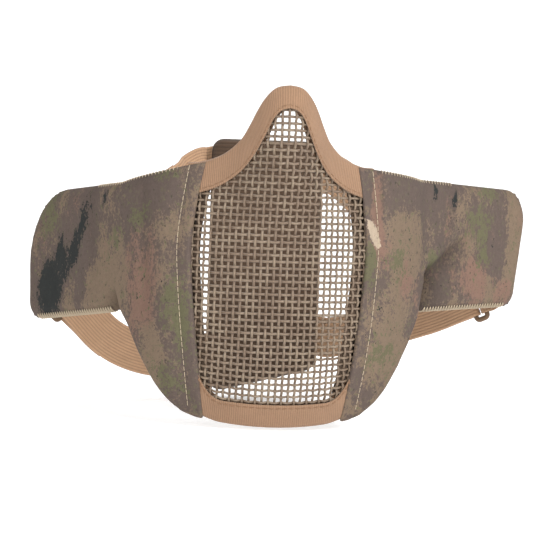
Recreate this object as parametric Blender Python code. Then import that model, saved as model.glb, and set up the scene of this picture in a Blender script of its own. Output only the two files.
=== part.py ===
"""A half face mask: formed steel mesh over the nose and mouth, padded camouflage cheeks with folding wings,
and an elastic harness with a nape pad.

Left and right are the wearer's: the wearer faces -Y, so left is +X. Z is up. The origin lies midway between
the two wing fold axes, level with the ears. Sizes below are millimetres.
"""

import math

import bmesh
import bpy
from mathutils import Matrix, Vector

MM = 0.001
SIDES = {"left": 1, "right": -1}

# Face surface: a sheet bent round a vertical cylinder, with a nose ridge raised in it.
# A point on it is (s, t): s runs round the face from the middle line, t runs up it.
FACE_RADIUS = 73.0
CHEEK_ANCHOR_S = 50.0  # the nose ridge leaves the sheet beyond this s where it was
NOSE_SLOPE = math.radians(47)
NOSE_HALF_WIDTH = 14.5
NOSE_FOOT_T, NOSE_TOP_T = -8.0, 58.0
CHIN_BEND_T, CHIN_BEND_RADIUS = -30.0, 118.0
BRIDGE_BEND_T, BRIDGE_BEND_RADIUS = 46.0, 120.0
FOLD_S = 87.0  # the sheet ends here, at the wing's fold

# Layers, as lifts from the mesh's middle surface, outwards positive.
MESH_LIFT = (-0.4, 0.4)
TAPE_LIFT = (0.7, 1.5)
COVER_LIFT = (1.9, 2.9)
FOAM_LIFT = (-2.4, 1.5)
LINING_LIFT = (-3.6, -2.8)

# Outlines on the face surface, as (s, t) points for the left half.
MESH_TOP = [(0, 71.0), (5.5, 70), (10, 66), (13.5, 61), (17.5, 53.8), (21.5, 47), (28.5, 40.6), (37, 37), (43.4, 36.4)]
TAPE_TOP_INNER = [(0, 60.8), (3.3, 59.6), (6.4, 55.5), (9.6, 48.5), (14.3, 40), (20.5, 32.3), (29.5, 26), (41, 22)]
CHEEK_BOTTOM = [(26, -80.5), (36, -80), (46, -78.3), (55, -72), (64.2, -61), (72.5, -48.6), (78, -39.5)]
CHIN_TAPE_BOTTOM = -81.0
CHIN_TAPE_WIDTH = 11.6
CHIN_CORNER_S, CHIN_CORNER_RISE, CHIN_TAPE_END = 22.0, 17.0, 38.4
TAPE_WALL = 0.9
MESH_TUCK = 1.4  # how far the mesh runs on past the cheek seam
SEAM_S_TOP, SEAM_S_CHIN = 47.0, 37.4  # the topstitched seam that joins a cheek to the mesh
SEAM_LEAN, SEAM_LEAN_T, SEAM_LEAN_SOFT = 0.17, 6.0, 10.0  # how it leans in towards the nose, from this height up
BAND_WIDTH = 6.6  # cheek fabric between that seam and the mesh window
FOLD_GAP = 0.6
CHEEK_TOP = 36.6
CHEEK_LEVELS, CHEEK_COLUMNS = 16, 12
MESH_LEVELS, MESH_COLUMNS = 18, 14

# Wings: flat padded panels that carry on from the cheeks and fold about a vertical axis.
WING_ANGLE = {"left": math.radians(44), "right": math.radians(61)}
WING_BOTTOM_FRONT = {"left": -28.5, "right": -32.0}
WING_TOP_FRONT = {"left": 31.5, "right": 26.0}
WING_BOTTOM_BACK = {"left": (76.0, -28.0), "right": (81.0, -42.0)}
WING_TOP_BACK = {"left": (86.0, 27.0), "right": (83.0, 18.0)}
WING_TOP_CORNER = {"left": 15.0, "right": 36.0}
WING_BOTTOM_CORNER = 8.0
WING_PAD_START = 4.6
WING_LAYERS = {"wing_cover": (-0.5, 0.5, "camo"), "wing_foam": (-4.8, -0.8, "foam"),
               "wing_lining": (-6.1, -5.1, "tan")}

# Harness. Each strap: the tab's height on the wing's end, how far its ring hangs below the tab, the strap's
# heights a third and two thirds of the way back, at the nape pad's side edge and behind the pad.
STRAPS = {
    ("left", "upper"): (8.0, 0.0, 9.0, 14.5, 31.0, 33.0),
    ("left", "lower"): (-17.0, 6.0, -35.0, -43.5, -50.0, -50.0),
    ("right", "upper"): (2.0, 0.0, 7.0, 17.5, 32.0, 35.0),
    ("right", "lower"): (-20.5, 9.5, -52.0, -60.5, -60.0, -60.0),
}
STRAP_WIDTH, STRAP_THICKNESS = 20.0, 1.1
LOOP_RISE = 2.1  # from a ring bar's middle to the middle of the strap round it
BAR_RADIUS = 1.25
RING_SPAN = 6.0
TAB_BASE, TAB_REACH = 12.0, 12.0
LOOP_TAIL, LOOP_END, LAP = 27.0, 60.0, 6.0  # the tail sewn back, the front strap's end, and its lap with the rear
PAD_MIDDLE = 8.0  # the pad rests a little to the left of the middle line
PAD_CORNERS = [(-28.0, -80.0, 8.0), (28.0, -66.0, 8.0), (28.0, 48.0, 6.0), (-28.0, 48.0, 6.0)]
PAD_FACE_Y = 104.0
PAD_LAYERS = {"nape_pad_lining": (0.0, 1.0, 0.0, "tan"), "nape_pad_foam": (1.3, 4.3, 1.5, "foam"),
              "nape_pad_cover": (4.6, 5.6, 0.0, "tan")}

COLOURS = {
    "camo": (0.19, 0.17, 0.135, 0.95, 0.0),
    "tan": (0.36, 0.22, 0.13, 0.9, 0.0),
    "steel": (0.22, 0.17, 0.13, 0.5, 0.6),
    "foam": (0.05, 0.05, 0.05, 1.0, 0.0),
    "plastic": (0.20, 0.13, 0.08, 0.5, 0.0),
}


def clear_scene():
    for obj in list(bpy.data.objects):
        bpy.data.objects.remove(obj)


def material(name):
    found = bpy.data.materials.get(name)
    if found:
        return found
    red, green, blue, roughness, metallic = COLOURS[name]
    made = bpy.data.materials.new(name)
    made.use_nodes = True
    shader = made.node_tree.nodes["Principled BSDF"]
    shader.inputs["Base Color"].default_value = (red, green, blue, 1)
    shader.inputs["Roughness"].default_value = roughness
    shader.inputs["Metallic"].default_value = metallic
    return made


def add_solid(name, points, faces, look, smooth=True):
    """An object from points in millimetres and faces, with its normals facing out."""
    mesh = bpy.data.meshes.new(name)
    mesh.from_pydata([Vector(p) * MM for p in points], [], faces)
    shaped = bmesh.new()
    shaped.from_mesh(mesh)
    bmesh.ops.recalc_face_normals(shaped, faces=shaped.faces)
    shaped.to_mesh(mesh)
    shaped.free()
    obj = bpy.data.objects.new(name, mesh)
    obj.data.materials.append(material(look))
    bpy.context.scene.collection.objects.link(obj)
    if smooth:
        mesh.shade_smooth()
        mesh.set_sharp_from_angle(angle=math.radians(35))
    return obj


# ---- Numbers and outlines ----


def ease(value, low, high):
    """0 below low, 1 above high, and smooth between."""
    share = min(1.0, max(0.0, (value - low) / (high - low)))
    return share * share * (3 - 2 * share)


def lerp(a, b, share):
    return a + (b - a) * share


def smooth_curve(knots, count):
    """count + 1 points along a Catmull-Rom curve through the knots, even along its length."""
    ends = [2 * Vector(knots[0]) - Vector(knots[1])]
    ends += [Vector(k) for k in knots]
    ends += [2 * Vector(knots[-1]) - Vector(knots[-2])]
    fine = []
    for a, b, c, d in zip(ends, ends[1:], ends[2:], ends[3:]):
        for step in range(16):
            u = step / 16
            fine.append(0.5 * (2 * b + (c - a) * u + (2 * a - 5 * b + 4 * c - d) * u * u
                               + (3 * b - a - 3 * c + d) * u ** 3))
    fine.append(Vector(knots[-1]))
    lengths = [0.0]
    for a, b in zip(fine, fine[1:]):
        lengths.append(lengths[-1] + (b - a).length)
    found, at = [], 0
    for index in range(count + 1):
        goal = lengths[-1] * index / count
        while at < len(fine) - 2 and lengths[at + 1] < goal:
            at += 1
        share = (goal - lengths[at]) / max(lengths[at + 1] - lengths[at], 1e-9)
        found.append(fine[at].lerp(fine[at + 1], share))
    return found


def height_at(knots, s):
    """The t of an outline given as (s, t) knots, at this s."""
    points = smooth_curve(knots, 60)
    for a, b in zip(points, points[1:]):
        if a.x <= s <= b.x:
            return lerp(a.y, b.y, (s - a.x) / max(b.x - a.x, 1e-9))
    return points[0].y if s < points[0].x else points[-1].y


def rounded_outline(corners, steps=5):
    """A closed outline from (x, y, radius) corners, each rounded by an arc."""
    outline = []
    for index, (x, y, radius) in enumerate(corners):
        here = Vector((x, y))
        before = (Vector(corners[index - 1][:2]) - here).normalized()
        after = (Vector(corners[(index + 1) % len(corners)][:2]) - here).normalized()
        half = before.angle(after) / 2
        if radius <= 0:
            outline.append(here)
            continue
        centre = here + (before + after).normalized() * radius / math.sin(half)
        start = here + before * radius / math.tan(half) - centre
        turn = (here + after * radius / math.tan(half) - centre).angle_signed(start)
        for step in range(steps + 1):
            outline.append(centre + Matrix.Rotation(turn * step / steps, 2) @ start)
    return outline


# ---- The face surface ----


def heading(s, t):
    """Angle of the sheet's tangent from straight across, in plan."""
    reach = s / NOSE_HALF_WIDTH
    ridge = NOSE_SLOPE * ease(t, NOSE_FOOT_T, NOSE_TOP_T)
    return s / FACE_RADIUS + ridge * reach * math.exp(0.5 * (1 - reach * reach))


def across_and_back(s, t, steps=16):
    """How far across and how far back the sheet has run at s, by Simpson's rule."""
    across = back = 0.0
    for index in range(steps + 1):
        weight = 1 if index in (0, steps) else (4 if index % 2 else 2)
        angle = heading(s * index / steps, t)
        across += weight * math.cos(angle)
        back += weight * math.sin(angle)
    return across * s / steps / 3, back * s / steps / 3


def middle_profile(t):
    """(y, z, lean) of the sheet's side profile: upright, with the chin and the bridge leaning back."""
    if t < CHIN_BEND_T:
        lean = (CHIN_BEND_T - t) / CHIN_BEND_RADIUS
        return CHIN_BEND_RADIUS * (1 - math.cos(lean)), CHIN_BEND_T - CHIN_BEND_RADIUS * math.sin(lean), lean
    if t > BRIDGE_BEND_T:
        lean = (t - BRIDGE_BEND_T) / BRIDGE_BEND_RADIUS
        return BRIDGE_BEND_RADIUS * (1 - math.cos(lean)), BRIDGE_BEND_T + BRIDGE_BEND_RADIUS * math.sin(lean), -lean
    return 0.0, t, 0.0


def sheet_point(s, t):
    """The sheet's point at (s, t), before it is moved to put the fold axes at y = 0."""
    across, back = across_and_back(s, t)
    taken, rise = across_and_back(CHEEK_ANCHOR_S, t)
    plain = FACE_RADIUS * math.sin(CHEEK_ANCHOR_S / FACE_RADIUS)
    across += math.copysign(plain - taken, s) * ease(abs(s), 0, CHEEK_ANCHOR_S)
    y, z, lean = middle_profile(t)
    return Vector((across, y - rise + back * math.cos(lean), z + back * math.sin(lean)))


def sheet_normal(s, t):
    step = 0.5
    along_s = sheet_point(s + step, t) - sheet_point(s - step, t)
    along_t = sheet_point(s, t + step) - sheet_point(s, t - step)
    return along_s.cross(along_t).normalized()


COVER_MIDDLE = sum(COVER_LIFT) / 2
FOLD_AXIS = sheet_point(FOLD_S, 0) + sheet_normal(FOLD_S, 0) * COVER_MIDDLE


def face_point(s, t, lift=0.0):
    point = sheet_point(s, t) + sheet_normal(s, t) * lift
    point.y -= FOLD_AXIS.y
    return point


def seam_s(t):
    """The s of the cheek's topstitched seam."""
    fall = min(1.0, max(0.0, -t / 80.0))
    rise = t - SEAM_LEAN_T
    lean = SEAM_LEAN * (rise + math.hypot(rise, SEAM_LEAN_SOFT)) / 2
    return lerp(SEAM_S_TOP, SEAM_S_CHIN, fall ** 1.3) - lean


# ---- Solids made of grids, sweeps and plates ----


def layer_solid(name, rows, lifts, look):
    """A sheet solid from rows of (s, t) points, between two lifts."""
    height, width = len(rows), len(rows[0])
    points = [face_point(s, t, lift) for lift in lifts for row in rows for s, t in row]

    def at(level, row, column):
        return (level * height + row) * width + column

    faces = []
    for level in (0, 1):
        for row in range(height - 1):
            for column in range(width - 1):
                faces.append([at(level, row, column), at(level, row, column + 1),
                              at(level, row + 1, column + 1), at(level, row + 1, column)])
    rim = [(0, column) for column in range(width)]
    rim += [(row, width - 1) for row in range(1, height)]
    rim += [(height - 1, column) for column in reversed(range(width - 1))]
    rim += [(row, 0) for row in reversed(range(1, height - 1))]
    for (row_a, col_a), (row_b, col_b) in zip(rim, rim[1:] + rim[:1]):
        faces.append([at(0, row_a, col_a), at(0, row_b, col_b), at(1, row_b, col_b), at(1, row_a, col_a)])
    return add_solid(name, points, faces, look)


def swept_solid(name, sections, look, smooth=True):
    """A solid from closed sections of equal length, skinned in order and capped."""
    count = len(sections[0])
    points = [p for section in sections for p in section]
    faces = [list(range(count)), list(range(len(points) - count, len(points)))]
    for index in range(len(sections) - 1):
        for corner in range(count):
            a = index * count + corner
            b = index * count + (corner + 1) % count
            faces.append([a, b, b + count, a + count])
    return add_solid(name, points, faces, look, smooth)


def loop_solid(name, sections, look):
    """A solid from closed sections skinned in a ring, the last one back to the first."""
    count = len(sections[0])
    points = [p for section in sections for p in section]
    faces = []
    for index in range(len(sections)):
        following = (index + 1) % len(sections)
        for corner in range(count):
            turned = (corner + 1) % count
            faces.append([index * count + corner, index * count + turned,
                          following * count + turned, following * count + corner])
    return add_solid(name, points, faces, look)


def move_origin(obj, point):
    """Puts an object's origin at a point in millimetres, leaving its shape where it is."""
    obj.data.transform(Matrix.Translation(-point * MM))
    obj.location = point * MM


# ---- Face panel ----


def tape_edges(outer_knots, inner_knots, count=15):
    """Pairs of (outer, inner) points along half a tape, from the middle line outwards."""
    return list(zip(smooth_curve(outer_knots, count), smooth_curve(inner_knots, count)))


def chin_edges(share):
    """The chin tape's (outer, inner) points, share of the way from the middle line to its end."""
    s = share * CHIN_TAPE_END
    corner = max(0.0, (s - CHIN_CORNER_S) / (CHIN_TAPE_END - CHIN_CORNER_S))
    inner_t = CHIN_TAPE_BOTTOM + CHIN_TAPE_WIDTH + CHIN_CORNER_RISE * corner ** 2.4
    return Vector((s, CHIN_TAPE_BOTTOM + 2.3 * ease(share, 0.6, 1.0))), Vector((s - 1.5 * corner, inner_t))


def tape_section(side, outer, inner):
    """The tape's U section over the mesh's edge, from its outer edge to its inner one."""
    low, high = TAPE_LIFT
    wall = TAPE_WALL / (outer - inner).length
    runs = [0.2, 0.4, 0.6, 0.8, 1.0]
    shape = [(share, high) for share in reversed(runs)] + [(0.04, high), (-0.02, 0.5 * high), (-0.02, -0.5 * high)]
    shape += [(0.04, -high)] + [(share, -high) for share in runs] + [(share, -low) for share in reversed(runs)]
    shape += [(wall, -low), (wall, low)] + [(share, low) for share in runs]
    points = [outer.lerp(inner, share) for share, lift in shape]
    return [face_point(side * p.x, p.y, lift) for p, (share, lift) in zip(points, shape)]


def build_face_mesh():
    """The formed steel mesh, as one thin sheet that ends inside its tapes."""
    tuck = TAPE_WALL + 0.5
    top = [tuple(o.lerp(i, tuck / (o - i).length)) for o, i in tape_edges(MESH_TOP, TAPE_TOP_INNER)]
    top.append((60.0, top[-1][1]))
    rows = []
    for level in range(MESH_LEVELS + 1):
        row = []
        for column in range(-MESH_COLUMNS, MESH_COLUMNS + 1):
            share = abs(column) / MESH_COLUMNS
            high = height_at(top, share * (SEAM_S_TOP + MESH_TUCK))
            low = chin_edges(share)[0].y + tuck
            t = lerp(low, high, level / MESH_LEVELS)
            row.append((math.copysign(share * (seam_s(t) + MESH_TUCK), column), t))
        rows.append(row)
    layer_solid("face_mesh", rows, MESH_LIFT, "steel")


def build_tape(name, pairs):
    sections = [tape_section(-1, o, i) for o, i in reversed(pairs[1:])]
    sections += [tape_section(1, o, i) for o, i in pairs]
    swept_solid(name, sections, "tan")


# ---- Cheeks ----


def cheek_rows(name, start, end_s, inset):
    """Rows of (s, t) over a cheek: from start(t) beside the mesh out to end_s, drawn in by inset."""
    low_s = start(-72.0)
    jaw = [(low_s, height_at(CHEEK_BOTTOM, low_s))]
    jaw += [p for p in CHEEK_BOTTOM if low_s + 4 < p[0] < end_s - 4]
    jaw.append((end_s, WING_BOTTOM_FRONT[name] + 0.5))
    rows = []
    for level in range(CHEEK_LEVELS + 1):
        share = level / CHEEK_LEVELS
        row = []
        for column, low in enumerate(smooth_curve(jaw, CHEEK_COLUMNS)):
            along = column / CHEEK_COLUMNS
            t = lerp(low.y + inset, lerp(CHEEK_TOP, WING_TOP_FRONT[name], along) - inset, share)
            s = lerp(low.x, lerp(start(t), end_s, along), share ** 0.6)
            row.append((SIDES[name] * (start(t) if column == 0 else s), t))
        rows.append(row)
    return rows


def build_cheek(name):
    def window_edge(t):
        return seam_s(t) - BAND_WIDTH

    def pad_edge(t):
        return seam_s(t) + MESH_TUCK + 0.6

    pad_end = FOLD_S - WING_PAD_START
    layer_solid(f"cheek_cover_{name}", cheek_rows(name, window_edge, FOLD_S - FOLD_GAP, 0), COVER_LIFT, "camo")
    layer_solid(f"cheek_foam_{name}", cheek_rows(name, pad_edge, pad_end, 1.5), FOAM_LIFT, "foam")
    layer_solid(f"cheek_lining_{name}", cheek_rows(name, window_edge, pad_end, 0), LINING_LIFT, "tan")


# ---- Wings ----


def wing_frame(name):
    """A wing's fold axis point, its direction away from the fold, and its outward direction."""
    angle = WING_ANGLE[name]
    along = Vector((SIDES[name] * math.cos(angle), math.sin(angle), 0))
    return Vector((SIDES[name] * FOLD_AXIS.x, 0, 0)), along, Vector((SIDES[name] * along.y, -abs(along.x), 0))


def wing_point(name, reach, height, lift):
    """A point on a wing: reach from the fold, height, and lift outwards from the cover's middle."""
    axis, along, outward = wing_frame(name)
    return axis + along * reach + Vector((0, 0, height)) + outward * lift


def wing_outline(name, start, inset):
    back_low, back_high = WING_BOTTOM_BACK[name], WING_TOP_BACK[name]
    low = lerp(WING_BOTTOM_FRONT[name], back_low[1], start / back_low[0]) + inset
    high = lerp(WING_TOP_FRONT[name], back_high[1], start / back_high[0]) - inset
    return rounded_outline([(start, low, 0), (back_low[0] - inset, back_low[1] + inset, WING_BOTTOM_CORNER),
                            (back_high[0] - inset, back_high[1] - inset, WING_TOP_CORNER[name]), (start, high, 0)])


def build_wing(name):
    for layer, (low, high, look) in WING_LAYERS.items():
        padding = layer == "wing_foam"
        outline = wing_outline(name, FOLD_GAP if layer == "wing_cover" else WING_PAD_START, 1.5 if padding else 0)
        sections = [[wing_point(name, p.x, p.y, lift) for p in outline] for lift in (low, high)]
        wing_part(name, swept_solid(f"{layer}_{name}", sections, look, smooth=False))


def wing_part(name, obj):
    move_origin(obj, Vector((SIDES[name] * FOLD_AXIS.x, 0, 0)))


# ---- Harness ----


class Strap:
    """One strap's path from its ring back to the nape pad, with a frame along it."""

    def __init__(self, side, level):
        tab_z, hang, third, two_thirds, edge_z, back_z = STRAPS[side, level]
        self.side, self.name, self.tab_z = side, f"{level}_{side}", tab_z
        sign = SIDES[side]
        self.end = wing_end(side, tab_z)
        lining = WING_LAYERS["wing_lining"][0]
        self.tab_bar = wing_point(side, self.end - 5.0, tab_z - hang, lining - TAB_REACH)
        edge = Vector((PAD_MIDDLE + sign * 35.5, PAD_FACE_Y + 3.2, edge_z))
        knots = [self.tab_bar.lerp(edge, share) for share in (0.34, 0.67)]
        knots[0].z, knots[1].z = third, two_thirds
        self.start = (knots[0] - self.tab_bar).normalized()
        self.strap_bar = self.tab_bar + self.start * RING_SPAN
        pad_back = PAD_FACE_Y + PAD_LAYERS["nape_pad_cover"][1] + 0.3 + STRAP_THICKNESS / 2
        knots.append(edge)
        for x, lift, rise in ((29.5, 0.1, 0.5), (23.0, 0.25, 0.9), (14.0, 0.0, 1.0)):
            knots.append(Vector((PAD_MIDDLE + sign * x, pad_back + lift, lerp(edge_z, back_z, rise))))
        self.path = smooth_curve([self.strap_bar] + knots, 120)
        self.step = (self.path[1] - self.path[0]).length
        self.length = self.step * 120

    def frame(self, reach):
        """The path's point, forward, width and outward directions, this far from the ring."""
        at = min(max(reach / self.step, 0.0), 119.999)
        low = int(at)
        point = self.path[low].lerp(self.path[low + 1], at - low)
        before, after = self.path[max(low - 1, 0)], self.path[min(low + 2, 120)]
        forward = (after - before).normalized() if low else self.start
        width = (Vector((0, 0, 1)) - forward * forward.z).normalized()
        return point, forward, width, forward.cross(width) * SIDES[self.side]

    def run(self, start, stop, count, lift):
        """(point, width direction) pairs along the path, lifted outwards."""
        found = []
        for index in range(count + 1):
            point, forward, width, outward = self.frame(lerp(start, stop, index / count))
            found.append((point + outward * lift, width))
        return found


def wing_end(name, height):
    """How far from the fold the wing's outer end is, at this height."""
    outline = wing_outline(name, FOLD_GAP, 0)
    crossings = []
    for a, b in zip(outline, outline[1:] + outline[:1]):
        if (a.y - height) * (b.y - height) <= 0 and abs(a.y - b.y) > 1e-6:
            crossings.append(lerp(a.x, b.x, (height - a.y) / (b.y - a.y)))
    return max(crossings)


def half_turn(centre, first, forward, width, count=8):
    """(point, width) pairs round a bar, starting at its first side and passing in front of it."""
    angles = [math.pi * (index + 0.5) / count for index in range(count)]
    return [(centre + (first * math.cos(a) + forward * math.sin(a)) * LOOP_RISE, width) for a in angles]


def ribbon_solid(name, line, look):
    """A flat strap along (point, width direction) pairs."""
    points = [p for p, width in line]
    sections = []
    for index, (point, width) in enumerate(line):
        forward = points[min(index + 1, len(points) - 1)] - points[max(index - 1, 0)]
        forward.normalize()
        across = (width - forward * forward.dot(width)).normalized()
        thick = forward.cross(across) * (STRAP_THICKNESS / 2)
        across *= STRAP_WIDTH / 2
        sections.append([point - across - thick, point + across - thick, point + across + thick,
                         point - across + thick])
    return swept_solid(name, sections, look)


def build_tab(strap):
    """The webbing tab sewn inside the wing's end, folded out past it and round the ring."""
    side, end, height = strap.side, strap.end, strap.tab_z
    face = WING_LAYERS["wing_lining"][0] - 0.3 - STRAP_THICKNESS / 2
    upright = Vector((0, 0, 1))
    _, forward, width, outward = strap.frame(0)
    over = [(end - TAB_BASE, 0.2), (end - 6, 0.2), (end - 1.0, 0.3), (end + 2.0, 1.2), (end + 3.2, 3.4),
            (end + 1.8, 5.8)]
    knots = [wing_point(side, reach, height, face - lift) for reach, lift in over]
    knots += [strap.tab_bar + outward * (LOOP_RISE + 0.15 * reach) - forward * reach for reach in (3.6, 1.4)]
    line = [(p, upright.lerp(width, ease(index, 11, 20))) for index, p in enumerate(smooth_curve(knots, 24))]
    line += half_turn(strap.tab_bar, outward, forward, width)
    back = strap.tab_bar - outward * LOOP_RISE
    line += [(back - forward * reach, width) for reach in (0.8, 2.4, 4.0)]
    wing_part(side, ribbon_solid(f"ring_tab_{strap.name}", line, "tan"))


def build_ring(strap):
    """The rectangular ring between the tab and the strap."""
    _, forward, width, outward = strap.frame(0)
    centre = (strap.tab_bar + strap.strap_bar) / 2
    half_span, half_width = RING_SPAN / 2, STRAP_WIDTH / 2 + BAR_RADIUS + 1.0
    corners = [(sx * half_span, sy * half_width, 1.6) for sx, sy in ((-1, -1), (1, -1), (1, 1), (-1, 1))]
    line = [centre + forward * p.x + width * p.y for p in rounded_outline(corners, 4)]
    sections = []
    for before, point, after in zip(line[-1:] + line, line, line[1:] + line[:1]):
        tangent = (after - before).normalized()
        inward = tangent.cross(outward)
        angles = [2 * math.pi * index / 10 for index in range(10)]
        sections.append([point + (inward * math.cos(a) + outward * math.sin(a)) * BAR_RADIUS for a in angles])
    wing_part(strap.side, loop_solid(f"strap_ring_{strap.name}", sections, "plastic"))


def build_strap_loop(strap):
    """The front strap: from its lap with the rear one to the ring, round it, and sewn back on itself."""
    _, forward, width, outward = strap.frame(0)
    line = strap.run(LOOP_END, 0.5, 28, -LOOP_RISE)
    line += half_turn(strap.strap_bar, -outward, -forward, width)
    closed = STRAP_THICKNESS + 0.3 - LOOP_RISE
    for index in range(15):
        reach = lerp(0.5, LOOP_TAIL, index / 14)
        point, forward, width, outward = strap.frame(reach)
        line.append((point + outward * lerp(LOOP_RISE, closed, ease(reach, 1.5, 13.0)), width))
    ribbon_solid(f"strap_loop_{strap.name}", line, "tan")


def build_strap_elastic(strap):
    """The rear strap: from its lap inside the front one to the back of the nape pad."""
    under = -LOOP_RISE - STRAP_THICKNESS - 0.3
    line = []
    for index in range(41):
        reach = lerp(LOOP_END - LAP, strap.length, index / 40)
        point, forward, width, outward = strap.frame(reach)
        line.append((point + outward * under * (1 - ease(reach, LOOP_END + 2, strap.length - 26)), width))
    ribbon_solid(f"strap_elastic_{strap.name}", line, "tan")


def build_nape_pad():
    origin = Vector((PAD_MIDDLE, PAD_FACE_Y, 0))
    for name, (near, far, inset, look) in PAD_LAYERS.items():
        corners = []
        for x, z, radius in PAD_CORNERS:
            corners.append((x - math.copysign(inset, x), z - math.copysign(inset, z), radius))
        outline = rounded_outline(corners)
        sections = [[Vector((PAD_MIDDLE + p.x, PAD_FACE_Y + depth, p.y)) for p in outline] for depth in (near, far)]
        move_origin(swept_solid(name, sections, look, smooth=False), origin)


def main():
    clear_scene()
    build_face_mesh()
    build_tape("nose_tape", tape_edges(MESH_TOP, TAPE_TOP_INNER))
    build_tape("chin_tape", [chin_edges(index / 12) for index in range(13)])
    for name in SIDES:
        build_cheek(name)
        build_wing(name)
        for level in ("upper", "lower"):
            strap = Strap(name, level)
            build_tab(strap)
            build_ring(strap)
            build_strap_loop(strap)
            build_strap_elastic(strap)
    build_nape_pad()


main()
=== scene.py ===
"""The look of a camouflage half face mask: woven wire mesh, bound edges, padded cheeks and wings, elastic harness.

Everything is laid out in millimetres in the CAD part's frame (left = wearer's left = +X, the wearer faces -Y,
Z up) and turned into metres when a mesh is made.
"""

import math

import bmesh
import bpy
import numpy as np
from mathutils import Matrix, Vector, noise


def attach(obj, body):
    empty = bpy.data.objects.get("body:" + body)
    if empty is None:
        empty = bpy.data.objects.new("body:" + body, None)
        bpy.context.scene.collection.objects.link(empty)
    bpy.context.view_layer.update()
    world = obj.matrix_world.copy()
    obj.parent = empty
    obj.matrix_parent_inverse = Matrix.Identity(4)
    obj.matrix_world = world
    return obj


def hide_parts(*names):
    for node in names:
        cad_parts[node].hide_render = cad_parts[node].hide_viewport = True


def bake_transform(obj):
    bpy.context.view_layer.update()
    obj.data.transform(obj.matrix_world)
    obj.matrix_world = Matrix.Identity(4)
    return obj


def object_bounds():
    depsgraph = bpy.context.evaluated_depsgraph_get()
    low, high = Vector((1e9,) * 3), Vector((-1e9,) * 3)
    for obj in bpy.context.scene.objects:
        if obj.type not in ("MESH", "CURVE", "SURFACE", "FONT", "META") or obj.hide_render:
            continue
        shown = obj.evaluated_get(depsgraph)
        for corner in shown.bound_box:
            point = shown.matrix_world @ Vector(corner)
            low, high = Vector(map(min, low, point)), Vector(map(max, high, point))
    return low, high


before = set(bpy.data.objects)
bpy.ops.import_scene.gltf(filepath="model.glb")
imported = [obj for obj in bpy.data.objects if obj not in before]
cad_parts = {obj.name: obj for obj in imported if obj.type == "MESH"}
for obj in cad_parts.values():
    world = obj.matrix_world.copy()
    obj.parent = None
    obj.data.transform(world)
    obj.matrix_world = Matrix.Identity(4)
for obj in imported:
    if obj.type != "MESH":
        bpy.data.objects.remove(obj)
CAD_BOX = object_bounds()

MM = 0.001
SIDES = {"left": 1, "right": -1}
UP = np.array([0.0, 0.0, 1.0])

# ---- The CAD part's own numbers, in millimetres ----

FACE_RADIUS = 73.0
CHEEK_ANCHOR_S = 50.0
NOSE_SLOPE = math.radians(47)
NOSE_HALF_WIDTH = 14.5
NOSE_FOOT_T, NOSE_TOP_T = -8.0, 58.0
CHIN_BEND_T, CHIN_BEND_RADIUS = -30.0, 118.0
BRIDGE_BEND_T, BRIDGE_BEND_RADIUS = 46.0, 120.0
FOLD_S = 87.0
COVER_MIDDLE = 2.4

# Outlines as (s, t): s across from the middle line, t up from the mouth, both along the face.
MESH_TOP = [(0, 71.0), (5.5, 70), (10, 66), (13.5, 61), (17.5, 53.8), (21.5, 47), (28.5, 40.6), (37, 37),
            (43.4, 36.4)]
TAPE_TOP_INNER = [(0, 60.8), (3.3, 59.6), (6.4, 55.5), (9.6, 48.5), (14.3, 40), (20.5, 32.3), (29.5, 26), (41, 22)]
CHEEK_BOTTOM = [(26, -80.5), (36, -80), (46, -78.3), (55, -72), (64.2, -61), (72.5, -48.6), (78, -39.5)]
CHIN_TAPE_BOTTOM, CHIN_TAPE_WIDTH = -81.0, 11.6
CHIN_CORNER_S, CHIN_CORNER_RISE, CHIN_TAPE_END = 22.0, 17.0, 38.4
SEAM_S_TOP, SEAM_S_CHIN = 47.0, 37.4
SEAM_LEAN, SEAM_LEAN_T, SEAM_LEAN_SOFT = 0.17, 6.0, 10.0
BAND_WIDTH = 6.6
CHEEK_TOP = 36.6

WING_ANGLE = {"left": math.radians(44), "right": math.radians(61)}
WING_BOTTOM_FRONT = {"left": -28.5, "right": -32.0}
WING_TOP_FRONT = {"left": 31.5, "right": 26.0}
WING_BOTTOM_BACK = {"left": (76.0, -28.0), "right": (81.0, -42.0)}
WING_TOP_BACK = {"left": (86.0, 27.0), "right": (83.0, 18.0)}
WING_TOP_CORNER = {"left": 15.0, "right": 36.0}
WING_BOTTOM_CORNER = 8.0
WING_LINING = -6.1

# Heights of each strap: at its tab, how far its ring hangs below that, a third and two thirds of the way back,
# at the pad's edge, and where it is sewn on the pad's back.
STRAPS = {
    ("left", "upper"): (8.0, 0.0, 9.0, 14.5, 31.0, 33.0),
    ("left", "lower"): (-17.0, 6.0, -35.0, -43.5, -50.0, -50.0),
    ("right", "upper"): (2.0, 0.0, 7.0, 17.5, 32.0, 35.0),
    ("right", "lower"): (-20.5, 9.5, -52.0, -60.5, -60.0, -60.0),
}
STRAP_WIDTH, STRAP_THICKNESS = 20.0, 1.1
LOOP_RISE, RING_SPAN = 2.1, 6.0
TAB_BASE, TAB_REACH = 12.0, 12.0
LOOP_TAIL, LOOP_END, LAP = 27.0, 60.0, 6.0
PAD_MIDDLE, PAD_FACE_Y, PAD_BACK_Y = 8.0, 104.0, 109.6
PAD_HALF_WIDTH = 28.0
PAD_CORNERS = [(-PAD_HALF_WIDTH, -80.0, 8.0), (PAD_HALF_WIDTH, -66.0, 8.0),
               (PAD_HALF_WIDTH, 48.0, 6.0), (-PAD_HALF_WIDTH, 48.0, 6.0)]

# ---- Sizes of what only shows, in millimetres; a lift is the height above the mesh's middle surface ----

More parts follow.
